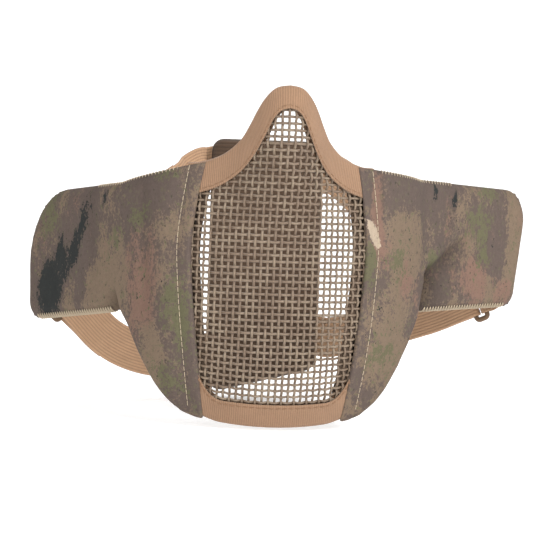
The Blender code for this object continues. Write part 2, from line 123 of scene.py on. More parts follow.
WIRE_PITCH, WIRE_RADIUS, WIRE_CRIMP = 2.87, 0.57, 0.48
WIRE_TUCK, WIRE_TUCK_BAND = 2.6, 3.6  # how far the wires run on under a tape, and under a cheek's band
MESH_REACH = 96.0  # no part of the mesh is further than this from its middle

TAPE_FACE, TAPE_BACK = 1.6, 1.07  # lifts of the tape's outer and inner faces
TAPE_ROLL, TAPE_CROWN, TAPE_RIB_RISE = 1.25, 0.12, 0.2
TAPE_SEAM_IN, TAPE_SEAM_DEPTH, TAPE_SEAM_WIDTH = 1.5, 0.16, 0.45
RIB_PITCH, STRAP_RIBS, PAD_RIB_PITCH = 0.95, 14, 1.9

FABRIC, EDGE_ROLL = 0.6, 5.5
FOLD_SOFT, FOLD_BLEND = 9.0, 11.0  # the panel turns FOLD_SOFT either side of the fold; FOLD_BLEND sets points either side of it that nothing uses
RIM_LIFT, PAD_OUT, PAD_IN = -0.35, 3.1, -3.9
BAND_FACE, BAND_EDGE, BAND_ON_TAPE, BAND_RIM = 2.45, 1.15, 1.9, 1.95  # lifts of the flat band along the seam
BAND_STEP, COVER_SINK, LINING_SINK, SINK_WIDTH = 1.1, 0.34, 0.3, 0.75  # the band's edge, and the seam's groove
LINING_REACH = {"left": 5.4, "right": 3.2}  # how far the lining runs on past the cheek's edge, behind the mesh
CHEEK_COLUMNS, WING_COLUMNS, PANEL_ROWS = 66, 84, 92

# A stitch's length, the gap to the next one, and its thread's radius and rise.
TAPE_STITCH = (2.3, 0.6, 0.2, 0.1)
TOPSTITCH = (2.4, 0.3, 0.17, 0.14)
TACK_THREAD, TACK_TEETH = 0.2, 15
OVERLOCK_PITCH, OVERLOCK_REACH = 2.1, 2.2

STRAP_STEPS = 120
STRAP_RIB_RISE, TAB_RIBS, TAB_RIB_RISE = 0.16, 16, 0.08
PLY_GAP = 0.3  # between two layers of strap sewn together
PAD_ROLL, PAD_CROWN = 3.2, 1.1
PAD_COLUMNS, PAD_ROWS = 60, 270
TUBE_SIDES = 6


# ---- Arithmetic on arrays ----


def ease(value, low, high):
    """0 below low, 1 above high, and smooth between."""
    share = np.clip((np.asarray(value, float) - low) / (high - low), 0, 1)
    return share * share * (3 - 2 * share)


def lerp(a, b, share):
    """From a at share 0 to b at share 1."""
    return a + (b - a) * share


def unit(vectors):
    """The vectors made one long."""
    return vectors / np.maximum(np.linalg.norm(vectors, axis=-1, keepdims=True), 1e-12)


def run_along(points):
    """How far along a polyline each of its points is."""
    return np.concatenate([[0], np.cumsum(np.linalg.norm(np.diff(points, axis=0), axis=1))])


def resample(points, count):
    """count + 1 points, evenly spaced along a polyline."""
    points = np.asarray(points, float)
    run = run_along(points)
    goals = np.linspace(0, run[-1], count + 1)
    return np.stack([np.interp(goals, run, points[:, k]) for k in range(points.shape[1])], axis=1)


def smooth_curve(knots, count):
    """count + 1 points along a Catmull-Rom curve through the knots, even along its length."""
    knots = np.asarray(knots, float)
    ends = np.vstack([2 * knots[0] - knots[1], knots, 2 * knots[-1] - knots[-2]])
    fine = []
    for a, b, c, d in zip(ends, ends[1:], ends[2:], ends[3:]):
        for u in np.arange(16) / 16:
            fine.append(0.5 * (2 * b + (c - a) * u + (2 * a - 5 * b + 4 * c - d) * u * u
                               + (3 * b - a - 3 * c + d) * u ** 3))
    fine.append(knots[-1])
    return resample(fine, count)


def rounded_outline(corners, steps=8):
    """A closed outline from (x, y, radius) corners, each rounded by an arc."""
    outline = []
    for index, (x, y, radius) in enumerate(corners):
        here = Vector((x, y))
        before = (Vector(corners[index - 1][:2]) - here).normalized()
        after = (Vector(corners[(index + 1) % len(corners)][:2]) - here).normalized()
        half = before.angle(after) / 2
        if radius <= 0:
            outline.append(tuple(here))
            continue
        centre = here + (before + after).normalized() * radius / math.sin(half)
        start = here + before * radius / math.tan(half) - centre
        turn = (here + after * radius / math.tan(half) - centre).angle_signed(start)
        for step in range(steps + 1):
            outline.append(tuple(centre + Matrix.Rotation(turn * step / steps, 2) @ start))
    return np.array(outline)


def crossings(outline, axis, value):
    """Where a closed outline crosses value on one axis, as places on the other axis."""
    found = []
    for a, b in zip(outline, np.roll(outline, -1, axis=0)):
        if (a[axis] - value) * (b[axis] - value) <= 0 and abs(a[axis] - b[axis]) > 1e-6:
            found.append(lerp(a[1 - axis], b[1 - axis], (value - a[axis]) / (b[axis] - a[axis])))
    return found


def ribbed(value, pitch, power):
    """Rounded ribs every pitch millimetres, 0 in the grooves between them and 1 on their tops."""
    return np.abs(np.sin(math.pi * value / pitch)) ** power


def rough(points, size, seed, octaves=3):
    """Smooth noise from about -1 to 1 at each point, its bumps about size (x, y) millimetres apart."""
    flat = points.reshape(-1, 2)
    found = np.empty(len(flat))
    for index, (x, y) in enumerate(flat):
        at = Vector((x / size[0], y / size[1], seed))
        total, weight = 0.0, 1.0
        for octave in range(octaves):
            total += noise.noise(at * 2 ** octave) * weight
            weight *= 0.5
        found[index] = total
    return found.reshape(points.shape[:-1])


# ---- The face surface, a wing's plane, and the panel that runs from one to the other ----

# Simpson's rule over 16 steps adds up the heading along a line of the face.
SIMPSON_AT = np.linspace(0, 1, 17)
SIMPSON = np.array([1] + [4, 2] * 7 + [4, 1]) / 48


def heading(s, t):
    """Which way the face turns at s, round the head and over the nose's ridge."""
    reach = s / NOSE_HALF_WIDTH
    ridge = NOSE_SLOPE * ease(t, NOSE_FOOT_T, NOSE_TOP_T)
    return s / FACE_RADIUS + ridge * reach * np.exp(0.5 * (1 - reach * reach))


def across_and_back(s, t):
    """How far sideways and how far back the face has gone at s."""
    angle = heading(s[..., None] * SIMPSON_AT, t[..., None])
    return (np.cos(angle) @ SIMPSON) * s, (np.sin(angle) @ SIMPSON) * s


def middle_profile(t):
    """The middle line's depth, height and lean: upright, bent back at the chin and at the bridge."""
    chin = np.maximum(CHIN_BEND_T - t, 0) / CHIN_BEND_RADIUS
    bridge = np.maximum(t - BRIDGE_BEND_T, 0) / BRIDGE_BEND_RADIUS
    back = CHIN_BEND_RADIUS * (1 - np.cos(chin)) + BRIDGE_BEND_RADIUS * (1 - np.cos(bridge))
    height = np.clip(t, CHIN_BEND_T, BRIDGE_BEND_T)
    height = height - CHIN_BEND_RADIUS * np.sin(chin) + BRIDGE_BEND_RADIUS * np.sin(bridge)
    return back, height, chin - bridge


def sheet_point(s, t):
    """Points on the mesh's middle surface: s across from the middle line, t up from the mouth."""
    s, t = np.broadcast_arrays(np.asarray(s, float), np.asarray(t, float))
    across, back = across_and_back(s, t)
    taken, rise = across_and_back(np.full(s.shape, CHEEK_ANCHOR_S), t)
    plain = FACE_RADIUS * math.sin(CHEEK_ANCHOR_S / FACE_RADIUS)
    across = across + np.copysign(plain - taken, s) * ease(np.abs(s), 0, CHEEK_ANCHOR_S)
    y, z, lean = middle_profile(t)
    return np.stack([across, y - rise + back * np.cos(lean), z + back * np.sin(lean)], axis=-1)


def sheet_normal(s, t):
    step = 0.5
    return unit(np.cross(sheet_point(s + step, t) - sheet_point(s - step, t),
                         sheet_point(s, t + step) - sheet_point(s, t - step)))


FOLD_AXIS = sheet_point(FOLD_S, 0.0) + sheet_normal(np.array(FOLD_S), np.array(0.0)) * COVER_MIDDLE


def face_point(s, t, lift=0.0):
    """Points lifted off the mesh's middle surface at (s, t)."""
    s, t = np.asarray(s, float), np.asarray(t, float)
    points = sheet_point(s, t) + sheet_normal(s, t) * np.asarray(lift, float)[..., None]
    points[..., 1] -= FOLD_AXIS[1]
    return points


def wing_point(side, reach, height, lift):
    """Points on a wing: reach from the fold, height, and lift outwards from its cover's middle."""
    angle, sign = WING_ANGLE[side], SIDES[side]
    along = np.array([sign * math.cos(angle), math.sin(angle), 0.0])
    outward = np.array([sign * along[1], -abs(along[0]), 0.0])
    reach, height, lift = (np.asarray(v, float)[..., None] for v in (reach, height, lift))
    return np.array([sign * FOLD_AXIS[0], 0.0, 0.0]) + along * reach + UP * height + outward * lift


def panel_point(side, s, t, lift):
    """Points on a cheek and its wing as one surface, s growing from the middle line out to the wing's end."""
    share = ease(s, FOLD_S - FOLD_SOFT, FOLD_S + FOLD_SOFT)[..., None]
    on_face = face_point(SIDES[side] * np.asarray(s, float), t, lift)
    on_wing = wing_point(side, np.asarray(s) - FOLD_S, t, np.asarray(lift) - COVER_MIDDLE)
    return on_face * (1 - share) + on_wing * share


def seam_s(t):
    """The s of the cheek's topstitched seam."""
    t = np.asarray(t, float)
    rise = t - SEAM_LEAN_T
    lean = SEAM_LEAN * (rise + np.hypot(rise, SEAM_LEAN_SOFT)) / 2
    return lerp(SEAM_S_TOP, SEAM_S_CHIN, np.clip(-t / 80.0, 0, 1) ** 1.3) - lean


# ---- Meshes ----


def add_object(name, data):
    obj = bpy.data.objects.new(name, data)
    bpy.context.scene.collection.objects.link(obj)
    return obj


def add_piece(name, points, faces, look, cloth):
    """A smooth-shaded mesh from points in millimetres; cloth is where each point lies in the flat fabric."""
    mesh = bpy.data.meshes.new(name)
    mesh.from_pydata((np.asarray(points, float).reshape(-1, 3) * MM).tolist(), [], [list(f) for f in faces])
    mesh.shade_smooth()
    laid = np.zeros((len(mesh.vertices), 3))
    laid[:, :cloth.shape[-1]] = cloth.reshape(len(laid), -1)
    layer = mesh.attributes.new("cloth", "FLOAT_VECTOR", "POINT")
    layer.data.foreach_set("vector", laid.ravel())
    mesh.materials.append(look)
    return add_object(name, mesh)


def grid_faces(rows, columns, start=0, closed=False, flip=False):
    """Quads of a grid whose points run row by row; a closed grid's last column joins its first."""
    row, column = np.meshgrid(np.arange(rows - 1), np.arange(columns if closed else columns - 1), indexing="ij")
    here, right = row * columns + column, row * columns + (column + 1) % columns
    quads = np.stack([here, right, right + columns, here + columns], axis=-1).reshape(-1, 4) + start
    return (quads[:, ::-1] if flip else quads).tolist()


def tube_faces(length, sides, start=0):
    """Faces of a tube of rings, closed at both ends."""
    ring = np.arange(start, start + sides)
    caps = [ring[::-1].tolist(), (ring + (length - 1) * sides).tolist()]
    return grid_faces(length, sides, start, closed=True) + caps


def sheet_piece(name, outside, inside, look, cloth, turned):
    """A closed sheet between two grids of points, joined round their rim."""
    rows, columns = outside.shape[:2]
    count = rows * columns
    faces = grid_faces(rows, columns, flip=not turned) + grid_faces(rows, columns, count, flip=turned)
    index = np.arange(count).reshape(rows, columns)
    rim = np.concatenate([index[0, :-1], index[:-1, -1], index[-1, :0:-1], index[:0:-1, 0]])
    for a, b in zip(rim, np.roll(rim, -1)):
        faces.append([b, a, a + count, b + count] if turned else [a, b, b + count, a + count])
    points = np.concatenate([outside.reshape(-1, 3), inside.reshape(-1, 3)])
    return add_piece(name, points, faces, look, np.concatenate([cloth.reshape(-1, cloth.shape[-1])] * 2))


def fabric_sheet(name, outside, look, cloth, turned):
    """A sheet of fabric from a grid of points on its outside, thickened inwards."""
    normals = unit(np.cross(np.gradient(outside, axis=1), np.gradient(outside, axis=0))) * (-1 if turned else 1)
    return sheet_piece(name, outside, outside - normals * FABRIC, look, cloth, turned)


def tube_rings(line, out, radius):
    """Rings of points round a line, turned to its outward directions; radius is one number or one for each."""
    forward = unit(np.gradient(line, axis=0))
    out = unit(out - forward * (out * forward).sum(-1, keepdims=True))
    angles = (np.arange(TUBE_SIDES) * 2 * math.pi / TUBE_SIDES)[None, :, None]
    radius = np.broadcast_to(np.asarray(radius, float), (len(line),))[:, None, None]
    ring = np.cross(forward, out)[:, None] * np.cos(angles) + out[:, None] * np.sin(angles)
    return line[:, None] + ring * radius


def capped_tubes(name, tubes, look, cloth=None):
    """One mesh of many closed tubes, each an array of rings; its cloth is (ring, side, tube) if none is given."""
    points, faces, laid, start = [], [], [], 0
    for number, rings in enumerate(tubes):
        length, sides = rings.shape[:2]
        points.append(rings.reshape(-1, 3))
        faces += tube_faces(length, sides, start)
        run = np.repeat(np.arange(length), sides)
        laid.append(np.stack([run, np.tile(np.arange(sides), length), np.full(run.shape, number)], axis=1))
        start += length * sides
    return add_piece(name, np.concatenate(points), faces, look, np.concatenate(laid) if cloth is None else cloth)


def thread_tube(line, out, radius):
    """One short stitch along a few points, thinner where it goes into the cloth."""
    return tube_rings(line, out, radius * np.concatenate([[0.45], np.ones(len(line) - 2), [0.45]]))


def stitch_row(points, outs, length, gap, radius, rise):
    """Tubes of a running stitch laid along a path with its outward directions."""
    run = run_along(points)
    arch = np.array([-0.3, 0.6, 1, 1, 0.6, -0.3])[:, None]
    tubes = []
    for begin in np.arange(0.4, run[-1] - length, length + gap):
        at = begin + np.array([0, 0.12, 0.35, 0.65, 0.88, 1]) * length
        line = np.stack([np.interp(at, run, points[:, k]) for k in range(3)], axis=1)
        out = unit(np.stack([np.interp(at, run, outs[:, k]) for k in range(3)], axis=1))
        tubes.append(thread_tube(line + out * rise * arch, out, radius))
    return tubes


# ---- Materials ----


STUDIO_LEVEL = 0.68  # a surface facing the lights comes out this much brighter than its colour


def srgb(red, green, blue):
    """A colour given as it looks under the studio light, as the linear value that a shader takes."""
    return tuple(STUDIO_LEVEL * (v / 255 / 12.92 if v < 10.3 else ((v / 255 + 0.055) / 1.055) ** 2.4)
                 for v in (red, green, blue)) + (1.0,)


class Look:
    """A procedural material, built up node by node."""

    def __init__(self, name, roughness=0.9, sheen=0.0, specular=0.3):
        self.material = bpy.data.materials.new(name)
        self.material.use_nodes = True
        self.tree = self.material.node_tree
        self.shader = self.tree.nodes["Principled BSDF"]
        self.put(self.shader.inputs["Roughness"], roughness)
        self.put(self.shader.inputs["Specular IOR Level"], specular)
        self.put(self.shader.inputs["Sheen Weight"], sheen)
        self.put(self.shader.inputs["Sheen Roughness"], 0.6)
        self.cloth = self.node("ShaderNodeAttribute", attribute_name="cloth").outputs["Vector"]

    def node(self, kind, **settings):
        made = self.tree.nodes.new(kind)
        for key, value in settings.items():
            setattr(made, key, value)
        return made

    def put(self, socket, value):
        if isinstance(value, bpy.types.NodeSocket):
            self.tree.links.new(value, socket)
        else:
            socket.default_value = value

    def maths(self, operation, a, b=0.0, c=0.0, clamp=False):
        made = self.node("ShaderNodeMath", operation=operation, use_clamp=clamp)
        for socket, value in zip(made.inputs, (a, b, c)):
            self.put(socket, value)
        return made.outputs[0]

    def along(self, axis):
        """One of the cloth's coordinates: X and Y lie in it, and Z is how deep a pleat has sunk, which sets the
        camo's painted shade.
        """
        part = self.node("ShaderNodeSeparateXYZ")
        self.put(part.inputs[0], self.cloth)
        return part.outputs[axis]

    def speck(self, scale):
        """Fine noise for what isn't cloth."""
        made = self.node("ShaderNodeTexNoise")
        made.inputs["Scale"].default_value = scale
        return made.outputs["Fac"]

    def placed(self, size, centre=(0, 0), turn=0.0, shift=0.0):
        """The cloth's coordinates about a centre, turned, in units of size (x, y) millimetres."""
        made = self.node("ShaderNodeMapping", vector_type="TEXTURE")
        self.put(made.inputs["Vector"], self.cloth)
        made.inputs["Location"].default_value = (centre[0], centre[1], shift)
        made.inputs["Rotation"].default_value = (0, 0, turn)
        made.inputs["Scale"].default_value = (size[0], size[1], size[0])
        return made.outputs[0]

    def noise(self, size, shift=0.0, detail=4.0, roughness=0.6, distortion=0.0):
        made = self.node("ShaderNodeTexNoise")
        self.put(made.inputs["Vector"], self.placed(size, shift=shift))
        for key, value in (("Scale", 1.0), ("Detail", detail), ("Roughness", roughness), ("Distortion", distortion)):
            made.inputs[key].default_value = value
        return made.outputs["Fac"]

    def step(self, value, low, high):
        """0 below low and 1 above high."""
        made = self.node("ShaderNodeMapRange", interpolation_type="SMOOTHSTEP")
        self.put(made.inputs["Value"], value)
        made.inputs["From Min"].default_value = low
        made.inputs["From Max"].default_value = high
        return made.outputs["Result"]

    def mix(self, share, a, b, blend="MIX"):
        made = self.node("ShaderNodeMix", data_type="RGBA", blend_type=blend)
        self.put(made.inputs["Factor"], share)
        self.put(made.inputs[6], a)
        self.put(made.inputs[7], b)
        return made.outputs[2]

    def spot(self, centre, size, turn=0.0):
        """1 at the middle of an ellipse on the cloth, falling to 0 at its edge."""
        made = self.node("ShaderNodeTexGradient", gradient_type="SPHERICAL")
        self.put(made.inputs["Vector"], self.placed(size, centre, turn))
        return made.outputs["Fac"]

    def wave(self, pitch, axis):
        """A ridge every pitch millimetres along X or Y of the cloth, from 0 to 1."""
        turn = self.maths("MULTIPLY", self.along(axis), 2 * math.pi / pitch)
        return self.maths("MULTIPLY_ADD", self.maths("SINE", turn), 0.5, 0.5)

    def ridges(self, pitch, axis):
        """Rounded ridges every pitch millimetres, 0 in the grooves between them and 1 on their tops."""
        turn = self.maths("MULTIPLY", self.along(axis), math.pi / pitch)
        return self.maths("POWER", self.maths("ABSOLUTE", self.maths("SINE", turn)), 0.5)

    def shade(self, colour, share, low, high):
        """The colour made darker and lighter, from low to high times its own, by a share from 0 to 1."""
        grey = self.node("ShaderNodeCombineColor")
        level = self.maths("ADD", self.maths("MULTIPLY", share, high - low), low)
        for channel in grey.inputs:
            self.put(channel, level)
        return self.mix(1.0, colour, grey.outputs[0], "MULTIPLY")

    def bump(self, height, distance, strength=1.0, after=None):
        made = self.node("ShaderNodeBump")
        self.put(made.inputs["Height"], height)
        made.inputs["Strength"].default_value = strength
        made.inputs["Distance"].default_value = distance * MM
        if after is not None:
            self.put(made.inputs["Normal"], after)
        return made.outputs["Normal"]

    def done(self, colour, normal=None):
        self.put(self.shader.inputs["Base Color"], colour)
        if normal is not None:
            self.put(self.shader.inputs["Normal"], normal)
        return self.material


# Places where the print has a large patch: centre and half size on the cloth in millimetres, turn, weight.
CAMO_BEIGE = [((-92, -18), (22, 26), 0.0, 0.3), ((-58, -50), (9, 30), 0.0, 0.25), ((-118, 8), (22, 26), 0.0, -0.3),
              ((-66, 22), (24, 16), 0.0, -0.25), ((62, 4), (22, 24), 0.0, 0.25), ((82, 28), (40, 16), 0.0, -0.3),
              ((55, -45), (20, 30), 0.0, 0.2), ((146, 6), (12, 26), 0.0, -0.3), ((160, -2), (12, 36), 0.0, 0.3)]
CAMO_ROSE = [((-65, -20), (14, 34), 0.0, 0.4), ((45, 14), (6, 26), 0.0, 0.4), ((50, -4), (8, 18), 0.0, 0.3),
             ((68, -14), (14, 18), 0.3, 0.3), ((130, -14), (14, 14), 0.0, 0.35), ((152, -20), (16, 13), 0.0, 0.35)]
CAMO_OLIVE = [((-148, 8), (14, 18), -0.5, 0.3), ((-86, 0), (10, 9), 0.4, 0.3), ((-67, 12), (12, 8), 0.4, 0.3),
              ((-48, -24), (8, 22), 0.0, 0.3), ((-42, -34), (6, 24), 0.0, 0.34), ((-50, -64), (18, 14), 0.0, 0.25),
              ((42, -8), (5, 14), 0.0, 0.4), ((58, -6), (14, 12), 0.0, 0.25), ((95, -5), (7, 12), -0.4, 0.3),
              ((52, -48), (16, 20), 0.0, 0.22), ((128, 12), (20, 12), 0.3, 0.28), ((136, 26), (12, 6), 0.0, 0.3),
              ((134, -2), (8, 16), 0.0, 0.28), ((-54, 31), (12, 5), 0.0, 0.3)]
CAMO_CHARCOAL = [((-144, -24), (18, 22), -0.5, 0.75), ((-132, -8), (12, 16), 0.5, 0.5),
                 ((-118, 3), (7, 22), -0.4, 0.5), ((-97, 19), (4, 8), -0.4, 0.4),
                 ((95, 27), (3, 7), -0.1, 0.45), ((110, 23), (3, 7), -0.2, 0.45)]
CAMO_CREAM = [((43, 8), (4, 13), 0.5, 0.75)]


def camo_look():
    """Printed twill: mauve-grey and beige clouds with speckled olive, charcoal streaks and paler patches, darkened
    with painted shade in the pleats.
    """
    look = Look("camo_fabric", roughness=0.95, specular=0.12)
    grain = look.noise((1.3, 1.9), 3.1, 2.0, 0.75)
    grey, beige = srgb(112, 98, 91), srgb(140, 121, 103)
    rose, olive = srgb(146, 117, 103), srgb(116, 112, 87)
    charcoal, cream = srgb(58, 60, 59), srgb(200, 180, 158)

    def spotted(size, shift, low, high, fuzz, spots):
        """Noise made stronger or weaker at the places given, cut to 0 and 1 with a grainy edge."""
        value = look.noise(size, shift, 8.0, 0.7, 0.3)
        for centre, extent, turn, weight in spots:
            value = look.maths("ADD", value, look.maths("MULTIPLY", look.spot(centre, extent, turn), weight))
        value = look.maths("ADD", value, look.maths("MULTIPLY", look.maths("SUBTRACT", grain, 0.5), fuzz))
        return look.step(value, low, high)

    colour = look.mix(spotted((22, 30), 0.0, 0.48, 0.60, 0.5, CAMO_BEIGE), grey, beige)
    colour = look.mix(spotted((20, 42), 11.0, 0.60, 0.74, 0.4, CAMO_ROSE), colour, rose)
    colour = look.mix(spotted((5, 6.5), 23.0, 0.62, 0.74, 0.8, CAMO_OLIVE), colour, olive)
    speckle = look.step(look.noise((3.0, 4.2), 83.0, 5.0, 0.75), 0.55, 0.68)
    colour = look.mix(look.maths("MULTIPLY", speckle, 0.6), colour, srgb(118, 112, 88))
    speckle = look.step(look.noise((2.4, 3.4), 97.0, 5.0, 0.75), 0.58, 0.70)
    colour = look.mix(look.maths("MULTIPLY", speckle, 0.5), colour, grey)
    colour = look.mix(spotted((8, 20), 37.0, 0.70, 0.82, 0.9, CAMO_CHARCOAL), colour, charcoal)
    colour = look.mix(spotted((12, 20), 53.0, 0.80, 0.86, 0.4, CAMO_CREAM), colour, cream)
    colour = look.mix(look.step(look.noise((1.6, 2.4), 71.0, 3.0, 0.7), 0.60, 0.74), colour, srgb(78, 76, 66))
    # Painted shade: the camo is darkened, down to 0.3 of its colour, as deep as a pleat has sunk.
    colour = look.shade(colour, look.maths("SUBTRACT", 1.0, look.along("Z"), clamp=True), 0.3, 1.0)
    colour = look.shade(colour, grain, 0.8, 1.14)
    colour = look.shade(colour, look.noise((0.55, 0.55), 7.0, 1.0), 0.88, 1.1)
    weave = look.maths("ADD", look.wave(0.62, "X"), look.wave(0.62, "Y"))
    normal = look.bump(weave, 0.05, 0.6)
    normal = look.bump(look.noise((3.5, 5.0), 5.0, 3.0), 0.25, 0.7, normal)
    return look.done(colour, normal)


def woven_look(name, colour, pitch, ribs=None, groove=0.62, across=0.5):
    """Narrow fabric in one colour: painted shade darkens the grooves between its ribs, fine threads over them, soiled
    a little unevenly.
    """
    look = Look(name, sheen=0.15)
    threads = look.maths("ADD", look.wave(pitch, "Y"), look.maths("MULTIPLY", look.wave(across, "X"), 0.6))
    tint = look.shade(colour, look.noise((9, 14), 2.0, 5.0), 0.84, 1.16)
    tint = look.shade(tint, look.noise((0.8, 0.8), 9.0, 2.0), 0.86, 1.12)
    tint = look.shade(tint, look.maths("MULTIPLY", threads, 0.6), 0.92, 1.06)
    if ribs:
        # Painted shade: darker in the grooves between the ribs, down to the groove share of the colour.
        tint = look.shade(tint, look.ridges(*ribs), groove, 1.1)
    return look.done(tint, look.bump(threads, 0.06, 0.7))


def steel_look():
    """Painted wire: tan-brown, a little worn and dusty."""
    look = Look("steel_mesh", roughness=0.55, specular=0.4)
    wear = look.noise((11, 11), 1.0, 6.0, 0.7)
    colour = look.mix(look.step(wear, 0.42, 0.62), srgb(138, 117, 98), srgb(160, 141, 120))
    colour = look.shade(colour, look.noise((1.2, 1.2), 4.0, 2.0), 0.8, 1.14)
    return look.done(colour, look.bump(look.noise((0.7, 0.7), 6.0, 2.0), 0.05, 0.5))


def plastic_look():
    """Moulded rings: brown, with a fine grain."""
    look = Look("plastic_hardware", roughness=0.5, specular=0.4)
    speck = look.speck(1500.0)
    return look.done(look.shade(srgb(128, 100, 74), speck, 0.85, 1.15), look.bump(speck, 0.03, 0.5))


CAMO = camo_look()
TAPE = woven_look("tan_tape", srgb(168, 132, 103), RIB_PITCH / 2, (RIB_PITCH, "Y"), groove=0.66)
# Painted light: the elastic is set lighter than it looks, to make up for the shade the wings cast on the straps.
ELASTIC_PAINTED_LIGHT = woven_look("ribbed_elastic", srgb(212, 170, 134), 0.7, (STRAP_WIDTH / STRAP_RIBS, "X"), groove=0.6)
WEBBING = woven_look("webbing", srgb(186, 148, 114), 0.8, (1.4, "Y"), groove=0.7)
# The lining's dark brown is partly its own colour and partly painted shade, for the shade inside the cheeks and
# behind the mesh.
LINING = woven_look("lining_fabric", srgb(92, 73, 58), 0.7, across=0.7)
# Painted shade: the pad's fabric is set well below its own tan, for the shade it sits in inside the mask, behind the
# mesh.
PAD_PAINTED_SHADE = woven_look("pad_fabric", srgb(88, 67, 50), 0.8, (PAD_RIB_PITCH, "Y"), groove=0.66)
STEEL = steel_look()
PLASTIC = plastic_look()
THREAD_LIGHT = woven_look("thread_light", srgb(222, 202, 172), 1.0)
THREAD_TAN = woven_look("thread_tan", srgb(158, 118, 84), 1.0)


# ---- The woven wire mesh ----


def chin_corner(s):
    """0 along the middle of the chin, then growing to 1 at the end of its tape."""
    return np.clip((np.abs(s) - CHIN_CORNER_S) / (CHIN_TAPE_END - CHIN_CORNER_S), 0, None)


def chin_inner_t(s):
    """The upper edge of the chin's tape."""
    return CHIN_TAPE_BOTTOM + CHIN_TAPE_WIDTH + CHIN_CORNER_RISE * chin_corner(s) ** 2.4


def inside_mesh(s, t):
    """Whether (s, t) is where wire shows or is just tucked under a tape or a cheek's band."""
    top = smooth_curve(TAPE_TOP_INNER, 80)
    reach = np.abs(s)
    return ((t < np.interp(reach, top[:, 0], top[:, 1]) + WIRE_TUCK) & (t > chin_inner_t(s) - WIRE_TUCK)
            & (reach < seam_s(t) - BAND_WIDTH + WIRE_TUCK_BAND))


def build_wires(name, upright):
    """Every wire that runs one way, each waving over and under the ones that cross it."""
    tubes, cloth = [], []
    furthest = math.ceil(MESH_REACH / WIRE_PITCH)
    for number in range(-furthest, furthest + 1):
        run = np.arange(-MESH_REACH, MESH_REACH, WIRE_PITCH / 4)
        fixed = np.full(run.shape, number * WIRE_PITCH)
        s, t = (fixed, run) if upright else (run, fixed)
        kept = np.flatnonzero(inside_mesh(s, t))
        if len(kept) < 6:
            continue
        s, t, run = (values[kept[0]:kept[-1] + 1] for values in (s, t, run))
        wave = np.cos(math.pi * (run / WIRE_PITCH + number)) * WIRE_CRIMP * (-1 if upright else 1)
        tubes.append(tube_rings(face_point(s, t, wave), sheet_normal(s, t), WIRE_RADIUS))
        cloth.append(np.repeat(np.stack([s, t], axis=1), TUBE_SIDES, axis=0))
    obj = capped_tubes(name, tubes, STEEL, np.concatenate(cloth))
    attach(obj, "face_shell")
    return obj


# ---- Tapes folded over the mesh's edges ----


def tape_profile(width):
    """The tape's closed section as (distance in from the fold, lift) points."""
    flat = np.linspace(width, TAPE_ROLL, 12)
    outside = np.stack([flat, TAPE_FACE + TAPE_CROWN * np.sin(math.pi * (width - flat) / width)], axis=1)
    angles = np.linspace(math.pi / 2, -math.pi / 2, 9)[1:-1]
    fold = np.stack([TAPE_ROLL - TAPE_ROLL * np.cos(angles), TAPE_FACE * np.sin(angles)], axis=1)
    inner = np.linspace(width - 0.15, 1.0, 5)
    under = np.stack([inner, np.full(5, -TAPE_BACK)], axis=1)
    over = np.stack([inner[::-1], np.full(5, TAPE_BACK)], axis=1)
    return np.concatenate([outside, fold, outside[::-1] * [1, -1], under, over])


def build_tape(name, outer, inner):
    """A ribbed tape folded over an edge, from its outer (fold) and inner edges as (s, t) paths of equal length."""
    widths = np.linalg.norm(outer - inner, axis=1)
    run = run_along((outer + inner) / 2)
    profile = np.stack([tape_profile(w) for w in widths])
    share = (profile[..., 0] / widths[:, None])[..., None]
    where = outer[:, None] * (1 - share) + inner[:, None] * share
    lift = profile[..., 1]
    faced = np.sign(lift) * (np.abs(lift) > TAPE_BACK + 0.2)
    ribs = TAPE_RIB_RISE * (ribbed(run, RIB_PITCH, 0.6) - 0.6)[:, None]
    near_seam = profile[..., 0] - (widths[:, None] - TAPE_SEAM_IN)
    groove = TAPE_SEAM_DEPTH * np.exp(-(near_seam / TAPE_SEAM_WIDTH) ** 2)
    points = face_point(where[..., 0], where[..., 1], lift + (ribs - groove) * faced)
    count, around = lift.shape
    cloth = np.stack([profile[..., 0], np.broadcast_to(run[:, None], lift.shape)], axis=-1)
    obj = add_piece(f"{name}_folded", points, tube_faces(count, around), TAPE, cloth)
    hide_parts(name)
    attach(obj, "face_shell")
    for word, sign in (("face", 1), ("back", -1)):
        at = lerp(outer, inner, ((widths - TAPE_SEAM_IN) / widths)[:, None])
        path = face_point(at[:, 0], at[:, 1], np.full(count, sign * (TAPE_FACE - 0.02)))
        outs = sheet_normal(at[:, 0], at[:, 1]) * sign
        row = capped_tubes(f"{name}_stitches_{word}", stitch_row(path, outs, *TAPE_STITCH), THREAD_TAN)
        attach(row, "face_shell")


def mirrored(half):
    """A path along one half, from the middle line, as a path over both halves."""
    return np.concatenate([half[:0:-1] * [-1, 1], half])


def build_tapes():
    build_tape("nose_tape", mirrored(smooth_curve(MESH_TOP, 330)), mirrored(smooth_curve(TAPE_TOP_INNER, 330)))
    s = np.linspace(0, CHIN_TAPE_END, 190)
    low = np.stack([s, CHIN_TAPE_BOTTOM + 2.3 * ease(s / CHIN_TAPE_END, 0.6, 1.0)], axis=1)
    high = np.stack([s - 1.5 * chin_corner(s), chin_inner_t(s)], axis=1)
    build_tape("chin_tape", mirrored(low), mirrored(high))


# ---- Cheeks and wings ----


def coons(bottom, top, start, end):
    """A grid filled in from its four edges: bottom and top of equal length, start and end of equal length."""
    u = np.linspace(0, 1, len(bottom))[None, :, None]
    v = np.linspace(0, 1, len(start))[:, None, None]
    corners = ((1 - u) * (1 - v) * bottom[0] + u * (1 - v) * bottom[-1] + (1 - u) * v * top[0] + u * v * top[-1])
    return (1 - v) * bottom[None] + v * top[None] + (1 - u) * start[:, None] + u * end[:, None] - corners


